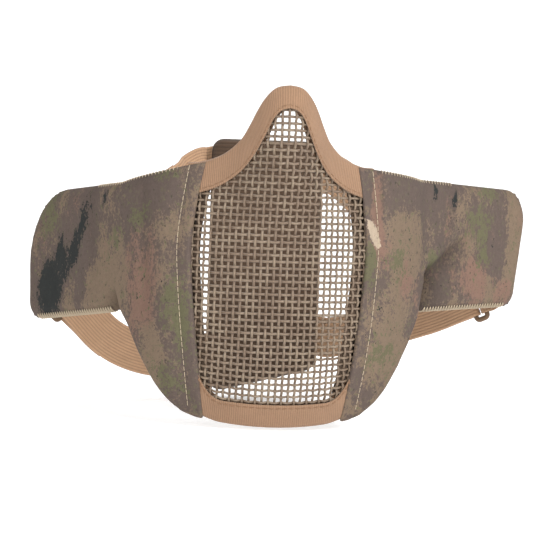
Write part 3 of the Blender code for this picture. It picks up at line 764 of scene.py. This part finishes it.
def crowd(points, count, both_ends=True):
    """A polyline resampled to count + 1 points that stand closer together at both ends, or only at the last."""
    share = np.linspace(0, 1, count + 1)
    if both_ends:
        share = share - 0.72 * np.sin(2 * math.pi * share) / (2 * math.pi)
    else:
        share = share + 0.15 * np.sin(math.pi * share) / math.pi + 0.31 * (share - share ** 2)
    fine = resample(points, 2000)
    return np.stack([np.interp(share, np.linspace(0, 1, 2001), fine[:, k]) for k in range(2)], axis=1)


def panel_grid(side, reach=0.0):
    """A cheek and its wing as one grid of (s, t), the outline it is sewn up along, and its edges by name."""
    band = BAND_WIDTH + reach
    low_s = float(seam_s(-72.0)) - band
    jaw_low = smooth_curve(CHEEK_BOTTOM, 60)
    jaw = [(low_s, np.interp(low_s, jaw_low[:, 0], jaw_low[:, 1]))]
    jaw += [p for p in CHEEK_BOTTOM if low_s + 4 < p[0] < FOLD_S - 4]
    jaw.append((FOLD_S, WING_BOTTOM_FRONT[side]))
    back_low, back_high = WING_BOTTOM_BACK[side], WING_TOP_BACK[side]
    bottom_corner = rounded_outline([(0, WING_BOTTOM_FRONT[side], 0), (*back_low, WING_BOTTOM_CORNER),
                                     (*back_high, 0)])[1:-1] + [FOLD_S, 0]
    top_corner = rounded_outline([(*back_low, 0), (*back_high, WING_TOP_CORNER[side]),
                                  (0, WING_TOP_FRONT[side], 0)])[1:-1] + [FOLD_S, 0]
    fold = np.array([(FOLD_S, WING_BOTTOM_FRONT[side]), (FOLD_S, WING_TOP_FRONT[side])])
    half_low, half_high = len(bottom_corner) // 2, len(top_corner) // 2
    t = np.linspace(jaw[0][1], CHEEK_TOP, 200)
    window = np.stack([seam_s(t) - band, t], axis=1)
    window[0] = jaw[0]
    cheek_top = np.array([window[-1], fold[1]])
    cheek = coons(smooth_curve(jaw, CHEEK_COLUMNS), resample(cheek_top, CHEEK_COLUMNS),
                  crowd(window, PANEL_ROWS), crowd(fold, PANEL_ROWS))
    low = np.vstack([fold[:1], bottom_corner[:half_low + 1]])
    end = np.vstack([bottom_corner[half_low:], top_corner[:half_high + 1]])
    high = np.vstack([fold[1:], top_corner[:half_high - 1:-1]])
    wing = coons(crowd(low, WING_COLUMNS, False), crowd(high, WING_COLUMNS, False),
                 crowd(fold, PANEL_ROWS), crowd(end, PANEL_ROWS))
    outline = np.vstack([smooth_curve(jaw, 120), resample(low, 120), resample(end, 120), resample(high, 120)[::-1],
                         resample(cheek_top, 80)[::-1]])
    edges = {"low": low, "high": high, "cheek_top": cheek_top}
    return np.concatenate([cheek, wing[:, 1:]], axis=1), outline, edges


def distance_to(points, path):
    """How far each point of a grid is from a path, taken as its samples."""
    flat = points.reshape(-1, 2)
    found = np.full(len(flat), 1e9)
    for block in np.array_split(path, 12):
        found = np.minimum(found, np.linalg.norm(flat[:, None] - block[None], axis=2).min(axis=1))
    return found.reshape(points.shape[:-1])


def rolled_rim(grid, outline, width):
    """0 at the outline and 1 from width in: as a share of the way, and as the height of a round edge."""
    roll = np.clip(distance_to(grid, outline) / width, 0, 1)
    return roll, np.sqrt(np.clip(1 - (1 - roll) ** 2, 0, 1))


def crease(grid, start, end, depth, sharp, soft):
    """A pleat pressed in along a line: a sharp step on one side of it and a slow rise on the other."""
    start, end = np.array(start, float), np.array(end, float)
    along = (end - start) / np.linalg.norm(end - start)
    offset = grid - start
    run = offset @ along / np.linalg.norm(end - start)
    side = offset @ np.array([along[1], -along[0]])
    shape = np.where(side < 0, np.exp(-(side / sharp) ** 2), np.exp(-(np.abs(side) / soft) ** 1.3))
    return -depth * shape * ease(run, -0.2, 0.05) * (1 - ease(run, 0.55, 1.1))


# Pleats: start and end on the cloth, depth, and how far the step and the rise reach, in millimetres.
CREASES = {
    "left": [((82, -38), (94, -6), 5.4, 1.2, 9.5), ((93, -12), (122, 6), 3.0, 3.0, 7.0),
             ((47, 42), (47, 6), 0.9, 1.6, 6.0), ((110, 30), (104, -20), 0.5, 4.0, 6.0)],
    "right": [((79, -40), (88, -21), 5.4, 1.2, 7.5), ((66, 24), (60, -50), 0.9, 4.0, 6.0),
              ((112, 30), (104, -20), 0.6, 4.0, 6.0)],
}
# The deepest pleat, where the painted shade in the camo is darkest.
DEEPEST = 5.4


def panel_lift(side, grid, outline, outward):
    """How far a side of the padded panel stands off the mesh's middle surface."""
    s, t = grid[..., 0], grid[..., 1]
    roll, full = rolled_rim(grid, outline, EDGE_ROLL)
    beyond = s - seam_s(t)
    over_tape = np.maximum(ease(t, 17, 24), ease(-t, 58, 66))
    edge = lerp(BAND_EDGE, BAND_ON_TAPE, over_tape)
    step = np.sqrt(np.clip((beyond + BAND_WIDTH) / BAND_STEP, 0, 1))
    puff = ease(beyond, 0, 7.5) * ease(s, 0, 1)
    seam = np.exp(-(beyond / SINK_WIDTH) ** 2)
    in_band = 1 - ease(beyond, 1.0, 9.0)
    if outward:
        wrinkles = 0.5 * rough(grid, (17, 42), 4.0 + SIDES[side]) + 0.14 * rough(grid, (6, 8), 9.0, 2)
        pucker = 0.22 * np.sin(2 * math.pi * t / 5.2 + 2 * rough(grid, (30, 12), 2.0, 1))
        pucker = pucker * np.exp(-np.clip(beyond, 0, None) / 3.2) * (beyond > 0)
        high = PAD_OUT + 0.35 * ease(roll, 0.2, 1) + wrinkles
        for pleat in CREASES[side]:
            high = high + crease(grid, *pleat)
        band = lerp(edge, BAND_FACE + 0.1 * rough(grid, (9, 6), 6.0, 2), step)
        return lerp(lerp(RIM_LIFT, BAND_RIM, in_band), lerp(band, high, puff) + pucker - COVER_SINK * seam, full)
    wrinkles = 0.3 * rough(grid, (20, 36), 14.0 + SIDES[side]) * (1 - ease(s, 128, 146))
    low = PAD_IN + 0.2 * ease(s, FOLD_S, FOLD_S + 20) + np.clip(wrinkles, -0.4, 0.2)
    band = lerp(-edge, -BAND_FACE, step)
    return lerp(lerp(RIM_LIFT, -BAND_RIM, in_band), lerp(band, low, puff) + LINING_SINK * seam, full)


def blend_over_fold(obj, side):
    """A piece that crosses the fold has its transform baked into its mesh; the points either side of the fold are
    worked out but not used.
    """
    start, end = (panel_point(side, np.array(FOLD_S + reach), np.array(0.0), np.array(COVER_MIDDLE))
                  for reach in (-FOLD_BLEND, FOLD_BLEND))
    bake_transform(obj)


def build_panel(side):
    """A cheek and its wing: the padded outer cover, the lining, and the stitching that joins them."""
    turned = SIDES[side] < 0
    grid, outline, edges = panel_grid(side)
    # How deep each pleat has sunk, carried in the cloth's Z to paint shade into the camo.
    sunk = sum(-crease(grid, *pleat) for pleat in CREASES[side]) / DEEPEST
    cloth = np.dstack([grid * [SIDES[side], 1], sunk])
    outside = panel_point(side, grid[..., 0], grid[..., 1], panel_lift(side, grid, outline, True))
    cover = fabric_sheet(f"cheek_wing_cover_{side}", outside, CAMO, cloth, turned)
    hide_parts(f"cheek_cover_{side}", f"wing_cover_{side}", f"cheek_foam_{side}", f"wing_foam_{side}")
    grid, outline, _ = panel_grid(side, LINING_REACH[side])
    inside = panel_point(side, grid[..., 0], grid[..., 1], panel_lift(side, grid, outline, False))
    lining = fabric_sheet(f"cheek_wing_lining_{side}", inside, LINING, grid * [SIDES[side], 1], not turned)
    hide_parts(f"cheek_lining_{side}", f"wing_lining_{side}")
    for obj in (cover, lining):
        blend_over_fold(obj, side)
    build_topstitch(side)
    build_overlock(side, edges)


def build_topstitch(side):
    """The pale running stitch down the cheek's seam, on the cover and on the lining."""
    t = np.linspace(CHEEK_TOP - 1.2, -77.4, 260)
    s = seam_s(t)
    outs = sheet_normal(SIDES[side] * s, t)
    for layer, slot, sign in (("cheek", "camo_fabric", 1), ("lining", "lining_fabric", -1)):
        path = panel_point(side, s, t, np.full(s.shape, sign * (BAND_FACE - COVER_SINK)))
        row = capped_tubes(f"{layer}_topstitch_{side}", stitch_row(path, sign * outs, *TOPSTITCH), THREAD_LIGHT)
        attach(row, "face_shell")


def build_overlock(side, edges):
    """The pale overlock thread wrapped round the panel's sewn edges: the wing's bottom, and along the top."""
    low = resample(edges["low"], 400)[14:-30]
    high = np.vstack([resample(edges["cheek_top"], 300)[70:], resample(edges["high"], 400)[1:120]])
    tubes = []
    for path, inward, height, proud, radius in ((low, 1.0, 0.8, 1.0, 0.38), (high, -1.0, 0.5, 0.6, 0.22)):
        run = run_along(path)
        for at in np.arange(0.5, run[-1] - 2.5, OVERLOCK_PITCH):
            here = at + np.array([0.0, 0.35, 0.8, 1.25, 1.7, OVERLOCK_PITCH])
            s, t = np.interp(here, run, path[:, 0]), np.interp(here, run, path[:, 1])
            up = np.array([OVERLOCK_REACH, 1.2, 0.1, -0.55, 0.1, 1.2]) * height
            lift = np.array([2.9, 2.45, 1.4, -0.35, -2.0, -3.0]) * proud
            line = panel_point(side, s, t + up * inward, lift)
            centre = panel_point(side, s, t + OVERLOCK_REACH * inward, np.full(s.shape, RIM_LIFT))
            tubes.append(thread_tube(line, unit(line - centre), radius))
    row = capped_tubes(f"overlock_{side}", tubes, THREAD_LIGHT)
    blend_over_fold(row, side)


# ---- Harness ----


def wing_end(side, height):
    """How far from the fold the wing's outer end is, at this height."""
    back_low, back_high = WING_BOTTOM_BACK[side], WING_TOP_BACK[side]
    start = 0.6
    low = lerp(WING_BOTTOM_FRONT[side], back_low[1], start / back_low[0])
    high = lerp(WING_TOP_FRONT[side], back_high[1], start / back_high[0])
    outline = rounded_outline([(start, low, 0), (*back_low, WING_BOTTOM_CORNER),
                               (*back_high, WING_TOP_CORNER[side]), (start, high, 0)], 5)
    return max(crossings(outline, 1, height))


class Strap:
    """One strap's path from its ring back to the nape pad, with a frame along it."""

    def __init__(self, side, level):
        tab_z, hang, third, two_thirds, edge_z, back_z = STRAPS[side, level]
        self.side, self.name, self.tab_z = side, f"{level}_{side}", tab_z
        sign = SIDES[side]
        self.end = wing_end(side, tab_z)
        self.tab_bar = wing_point(side, self.end - 5.0, tab_z - hang, WING_LINING - TAB_REACH)
        edge = np.array([PAD_MIDDLE + sign * 35.5, PAD_FACE_Y + 3.2, edge_z])
        knots = [lerp(self.tab_bar, edge, share) for share in (0.34, 0.67)]
        knots[0][2], knots[1][2] = third, two_thirds
        self.start = unit(knots[0] - self.tab_bar)
        self.strap_bar = self.tab_bar + self.start * RING_SPAN
        pad_back = PAD_BACK_Y + 0.3 + STRAP_THICKNESS / 2
        knots.append(edge)
        for x, lift, rise in ((29.5, 0.1, 0.5), (23.0, 0.25, 0.9), (14.0, 0.0, 1.0)):
            knots.append(np.array([PAD_MIDDLE + sign * x, pad_back + lift, lerp(edge_z, back_z, rise)]))
        self.path = smooth_curve([self.strap_bar] + knots, STRAP_STEPS)
        self.step = np.linalg.norm(self.path[1] - self.path[0])
        self.length = self.step * STRAP_STEPS
        self.edge_reach = np.linalg.norm(self.path - edge, axis=1).argmin() * self.step

    def frame(self, reach):
        """The path's points, forward, width and outward directions, these far from the ring."""
        at = np.clip(np.atleast_1d(reach) / self.step, 0, STRAP_STEPS - 0.001)
        low = at.astype(int)
        point = lerp(self.path[low], self.path[low + 1], (at - low)[:, None])
        tangents = unit(np.gradient(self.path, axis=0))
        tangents[0] = self.start
        forward = unit(lerp(tangents[low], tangents[low + 1], (at - low)[:, None]))
        width = unit(UP - forward * forward[:, 2:])
        return point, forward, width, np.cross(forward, width) * SIDES[self.side]

    def ends(self, first, last):
        """The points these far from the ring, in metres."""
        return (tuple(self.frame(reach)[0][0] * MM) for reach in (first, last))

    def tacks(self, reaches, lift):
        """Stitch tubes of the bar tacks across the strap at these reaches, lifted off its path."""
        tubes = []
        for reach in reaches:
            spot, forward, width, out = (v[0] for v in self.frame(reach))
            tubes += zigzag(spot + out * lift, forward, width, out, 8.8, 1.6)
        return tubes


def half_turn(centre, first, forward, width, count=14):
    """(points, widths) round a bar, starting at its first side and passing in front of it."""
    angles = math.pi * (np.arange(count) + 0.5) / count
    points = centre + (first * np.cos(angles)[:, None] + forward * np.sin(angles)[:, None]) * LOOP_RISE
    return points, np.repeat(width[None], count, axis=0)


def band_section(ribs, height):
    """A strap's closed section as (across, thick) points: ribbed faces and rounded edges."""
    half = STRAP_WIDTH / 2
    across = np.linspace(-half + 0.35, half - 0.35, 85)
    face = STRAP_THICKNESS / 2 - height + height * 1.6 * ribbed(across, STRAP_WIDTH / ribs, 0.6)
    top = np.stack([across, face], axis=1)
    edge = STRAP_THICKNESS / 4
    cap = np.array([[half - 0.05, edge], [half, 0.0], [half - 0.05, -edge]])
    return np.concatenate([top, cap, (top * [1, -1])[::-1], cap[::-1] * [-1, 1]])


def build_band(name, points, widths, look, ribs=STRAP_RIBS, height=STRAP_RIB_RISE):
    """A flat strap along points with a width direction at each."""
    forward = unit(np.gradient(points, axis=0))
    across = unit(widths - forward * (widths * forward).sum(-1, keepdims=True))
    thick = np.cross(forward, across)
    section = band_section(ribs, height)
    rings = points[:, None] + across[:, None] * section[None, :, :1] + thick[:, None] * section[None, :, 1:]
    count, around = rings.shape[:2]
    cloth = np.stack(np.broadcast_arrays(section[None, :, 0], run_along(points)[:, None]), axis=-1)
    obj = add_piece(f"{name}_woven", rings, tube_faces(count, around), look, cloth)
    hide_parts(name)
    return obj


def zigzag(point, forward, width, outward, half_width, depth):
    """Stitch tubes of a bar tack across a strap: a tight zigzag on its outside."""
    across = np.linspace(-half_width, half_width, TACK_TEETH + 1)
    tubes = []
    for index, (begin, end) in enumerate(zip(across, across[1:])):
        swing = (-1) ** index * depth / 2
        line = np.array([point + width * lerp(begin, end, k) + forward * lerp(-swing, swing, k)
                         + outward * lift for k, lift in ((0, -0.05), (0.25, 0.16), (0.75, 0.16), (1, -0.05))])
        tubes.append(thread_tube(line, np.repeat(outward[None], 4, axis=0), TACK_THREAD))
    return tubes


def build_tab(strap):
    """The tab sewn to the wing's end and folded round the ring's first bar."""
    side, wing = strap.side, f"wing_{strap.side}"
    _, forward, width, outward = (v[0] for v in strap.frame(0))
    face = WING_LINING - PLY_GAP - STRAP_THICKNESS / 2
    base = strap.end - TAB_BASE
    over = [(base, 0.2), (strap.end - 6, 0.2), (strap.end - 1.0, 0.3), (strap.end + 2.0, 1.2),
            (strap.end + 3.2, 3.4), (strap.end + 1.8, 5.8)]
    knots = [wing_point(side, reach, strap.tab_z, face - lift) for reach, lift in over]
    knots += [strap.tab_bar + outward * (LOOP_RISE + 0.15 * reach) - forward * reach for reach in (3.6, 1.4)]
    line = smooth_curve(knots, 24)
    turn = unit(lerp(UP, width, ease(np.arange(25), 11, 20)[:, None]))
    bend, bend_widths = half_turn(strap.tab_bar, outward, forward, width, 10)
    back = strap.tab_bar - outward * LOOP_RISE
    tail = np.array([back - forward * reach for reach in (0.8, 2.4, 4.0)])
    points = np.concatenate([line, bend, tail])
    widths = np.concatenate([turn, bend_widths, np.repeat(width[None], 3, axis=0)])
    tab = build_band(f"ring_tab_{strap.name}", points, widths, WEBBING, TAB_RIBS, TAB_RIB_RISE)
    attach(tab, wing)
    middle = wing_point(side, 0.0, 0.0, 0.0)
    inward, along = wing_point(side, 0.0, 0.0, -1.0) - middle, wing_point(side, 1.0, 0.0, 0.0) - middle
    tacks = []
    for reach in (base + 1.6, base + 6.0):
        spot = wing_point(side, reach, strap.tab_z, face - 0.2 - STRAP_THICKNESS / 2)
        tacks += zigzag(spot, along, UP, inward, 8.6, 1.5)
    tack = capped_tubes(f"tab_tacks_{strap.name}", tacks, THREAD_TAN)
    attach(tack, wing)


def build_loop(strap):
    """The front strap: from the lap to the ring, round its second bar, and sewn back on itself."""
    _, forward, width, outward = (v[0] for v in strap.frame(0))
    at, _, across, out = strap.frame(np.linspace(LOOP_END, 0.5, 70))
    first = at - out * LOOP_RISE
    bend, bend_widths = half_turn(strap.strap_bar, -outward, -forward, width)
    closed = STRAP_THICKNESS + PLY_GAP - LOOP_RISE
    reaches = np.linspace(0.5, LOOP_TAIL, 34)
    at, _, across_back, out = strap.frame(reaches)
    last = at + out * lerp(LOOP_RISE, closed, ease(reaches, 1.5, 13.0))[:, None]
    points = np.concatenate([first, bend, last])
    widths = np.concatenate([across, bend_widths, across_back])
    loop = build_band(f"strap_loop_{strap.name}", points, widths, ELASTIC_PAINTED_LIGHT)
    start, end = strap.ends(3.0, LOOP_END - LAP)
    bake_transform(loop)
    tacks = strap.tacks((LOOP_TAIL - 2.0, LOOP_TAIL - 6.5), closed + STRAP_THICKNESS / 2)
    tacks += strap.tacks((LOOP_END - 1.2, LOOP_END - LAP + 1.2), STRAP_THICKNESS / 2 - LOOP_RISE)
    tack = capped_tubes(f"loop_tacks_{strap.name}", tacks, THREAD_TAN)
    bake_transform(tack)


def build_rear(strap):
    """The rear strap: from under the lap to the pad's back, where it is sewn down."""
    under = -LOOP_RISE - STRAP_THICKNESS - PLY_GAP
    reaches = np.linspace(LOOP_END - LAP, strap.length, 60)
    at, _, across, out = strap.frame(reaches)
    points = at + out * (under * (1 - ease(reaches, LOOP_END + 2, strap.length - 26)))[:, None]
    rear = build_band(f"strap_elastic_{strap.name}", points, across, ELASTIC_PAINTED_LIGHT)
    start, end = strap.ends(LOOP_END + 1.0, strap.edge_reach)
    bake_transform(rear)
    tacks = strap.tacks((strap.length - 2.0, strap.length - 8.0), STRAP_THICKNESS / 2)
    tack = capped_tubes(f"pad_tacks_{strap.name}", tacks, THREAD_TAN)
    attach(tack, "nape_pad")


def build_nape_pad():
    """The ribbed pad behind the head: two crowned faces that meet at a rounded rim."""
    outline = rounded_outline(PAD_CORNERS)
    x = -PAD_HALF_WIDTH * np.cos(np.linspace(0, math.pi, PAD_COLUMNS))
    inner = PAD_HALF_WIDTH - 0.001
    heights = [crossings(outline, 0, v) for v in np.clip(x, -inner, inner)]
    low, high = (np.array([pick(found) for found in heights]) for pick in (min, max))
    share = np.linspace(0, 1, PAD_ROWS)
    share = (share - 0.6 * np.sin(2 * math.pi * share) / (2 * math.pi))[:, None]
    z = low * (1 - share) + high * share
    grid = np.stack(np.broadcast_arrays(x, z), axis=-1)
    _, full = rolled_rim(grid, resample(np.vstack([outline, outline[:1]]), 500), PAD_ROLL)
    middle_y, depth = (PAD_FACE_Y + PAD_BACK_Y) / 2, (PAD_BACK_Y - PAD_FACE_Y) / 2
    crown = PAD_CROWN * np.clip(1 - (x / PAD_HALF_WIDTH) ** 2, 0, 1) + 0.25 * rough(grid, (18, 26), 31.0)
    ribs = 0.3 * (ribbed(z, PAD_RIB_PITCH, 0.7) - 0.5)
    front = middle_y - full * (depth + crown + ribs)
    back = middle_y + full * (depth - 0.05 + 0.1 * np.minimum(ribs, 0))
    front, back = (np.stack([PAD_MIDDLE + grid[..., 0], y, z], axis=-1) for y in (front, back))
    obj = sheet_piece("nape_pad", front, back, PAD_PAINTED_SHADE, grid, True)
    weld(obj)
    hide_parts("nape_pad_lining", "nape_pad_foam", "nape_pad_cover")
    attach(obj, "nape_pad")


def weld(obj, distance=0.01 * MM):
    """Joins points that lie on each other, where a front and a back meet at an edge."""
    shaped = bmesh.new()
    shaped.from_mesh(obj.data)
    bmesh.ops.remove_doubles(shaped, verts=shaped.verts, dist=distance)
    bmesh.ops.dissolve_degenerate(shaped, edges=shaped.edges, dist=distance)
    bmesh.ops.recalc_face_normals(shaped, faces=shaped.faces)
    shaped.to_mesh(obj.data)
    shaped.free()


# ---- Setting, in metres ----

CAMERA_TURN, CAMERA_RISE, CAMERA_TILT = math.radians(-6), math.radians(3), math.radians(2)
CAMERA_LENS = 150.5
CAMERA_AIM = Vector((-2.6, -48.0, -11.3)) * MM
CAMERA_DISTANCE = 1.0

FLOOR_HALF_WIDTH, FLOOR_FRONT, FLOOR_GAP = 3.0, -3.0, 0.0012
SWEEP_START, SWEEP_RADIUS, SWEEP_TOP = 1.3, 0.5, 2.2
FLOOR_WHITE = (0.95, 0.95, 0.95, 1.0)
FLOOR_GLOW, WORLD_LEVEL = 0.3, 0.35

# Lights: name, place, size and power. All point at the mask.
LIGHTS = (("key", (0.85, -1.2, 0.85), 0.8, 27), ("fill", (-0.8, -1.3, 0.45), 1.0, 11),
          ("behind", (0.0, 0.6, 1.3), 1.2, 10))
LIGHTS_AIM = Vector((0, 0.02, -0.01))


def build_camera():
    """A long lens in front of the mask, a little to its right and above it, tilted a few degrees."""
    look = Vector((-math.sin(CAMERA_TURN) * math.cos(CAMERA_RISE), math.cos(CAMERA_TURN) * math.cos(CAMERA_RISE),
                   -math.sin(CAMERA_RISE)))
    level = look.cross(Vector((0, 0, 1))).normalized()
    above = level.cross(look)
    right = level * math.cos(CAMERA_TILT) + above * math.sin(CAMERA_TILT)
    up = above * math.cos(CAMERA_TILT) - level * math.sin(CAMERA_TILT)
    data = bpy.data.cameras.new("camera")
    data.sensor_width = 36.0
    data.lens = CAMERA_LENS
    camera = add_object("camera", data)
    place = Matrix.Translation(CAMERA_AIM - look * CAMERA_DISTANCE)
    camera.matrix_world = place @ Matrix((right, up, -look)).transposed().to_4x4()
    bpy.context.scene.camera = camera


def build_lights():
    """Soft boxes in front and above, and an even white surround."""
    for name, place, size, power in LIGHTS:
        data = bpy.data.lights.new(name, "AREA")
        data.size, data.energy = size, power
        lamp = add_object(name, data)
        lamp.location = place
        lamp.rotation_euler = (LIGHTS_AIM - Vector(place)).to_track_quat("-Z", "Y").to_euler()
    world = bpy.data.worlds.new("studio")
    world.use_nodes = True
    world.node_tree.nodes["Background"].inputs["Color"].default_value = (1.0, 1.0, 1.0, 1.0)
    world.node_tree.nodes["Background"].inputs["Strength"].default_value = WORLD_LEVEL
    bpy.context.scene.world = world


def build_floor():
    """A white floor that curves up into a backdrop."""
    lowest = CAD_BOX[0][2] - FLOOR_GAP
    profile = [(FLOOR_FRONT, 0.0), (SWEEP_START, 0.0)]
    profile += [(SWEEP_START + SWEEP_RADIUS * math.sin(a), SWEEP_RADIUS - SWEEP_RADIUS * math.cos(a))
                for a in np.linspace(0.1, math.pi / 2, 14)]
    profile.append((SWEEP_START + SWEEP_RADIUS, SWEEP_TOP))
    points = [(x, y, lowest + z) for x in (-FLOOR_HALF_WIDTH, FLOOR_HALF_WIDTH) for y, z in profile]
    count = len(profile)
    mesh = bpy.data.meshes.new("floor")
    mesh.from_pydata(points, [], [[i, i + count, i + 1 + count, i + 1] for i in range(count - 1)])
    mesh.shade_smooth()
    look = Look("floor_paper", roughness=0.95, specular=0.1)
    look.put(look.shader.inputs["Emission Color"], (1.0, 1.0, 1.0, 1.0))
    look.put(look.shader.inputs["Emission Strength"], FLOOR_GLOW)
    mesh.materials.append(look.done(look.shade(FLOOR_WHITE, look.speck(40.0), 0.98, 1.0)))
    add_object("floor", mesh)


def dress_rings():
    """The strap rings are shown as they are in the CAD part."""
    for name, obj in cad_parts.items():
        if name.startswith("strap_ring"):
            obj.data.materials.clear()
            obj.data.materials.append(PLASTIC)


def main():
    build_camera()
    wires = build_wires("mesh_wires_across", False)
    build_wires("mesh_wires_upright", True)
    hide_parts("face_mesh")
    build_tapes()
    for side in SIDES:
        build_panel(side)
        for level in ("upper", "lower"):
            strap = Strap(side, level)
            build_tab(strap)
            build_loop(strap)
            build_rear(strap)
    build_nape_pad()
    dress_rings()
    build_floor()
    build_lights()
    bpy.context.scene.view_settings.view_transform = "Standard"


main()
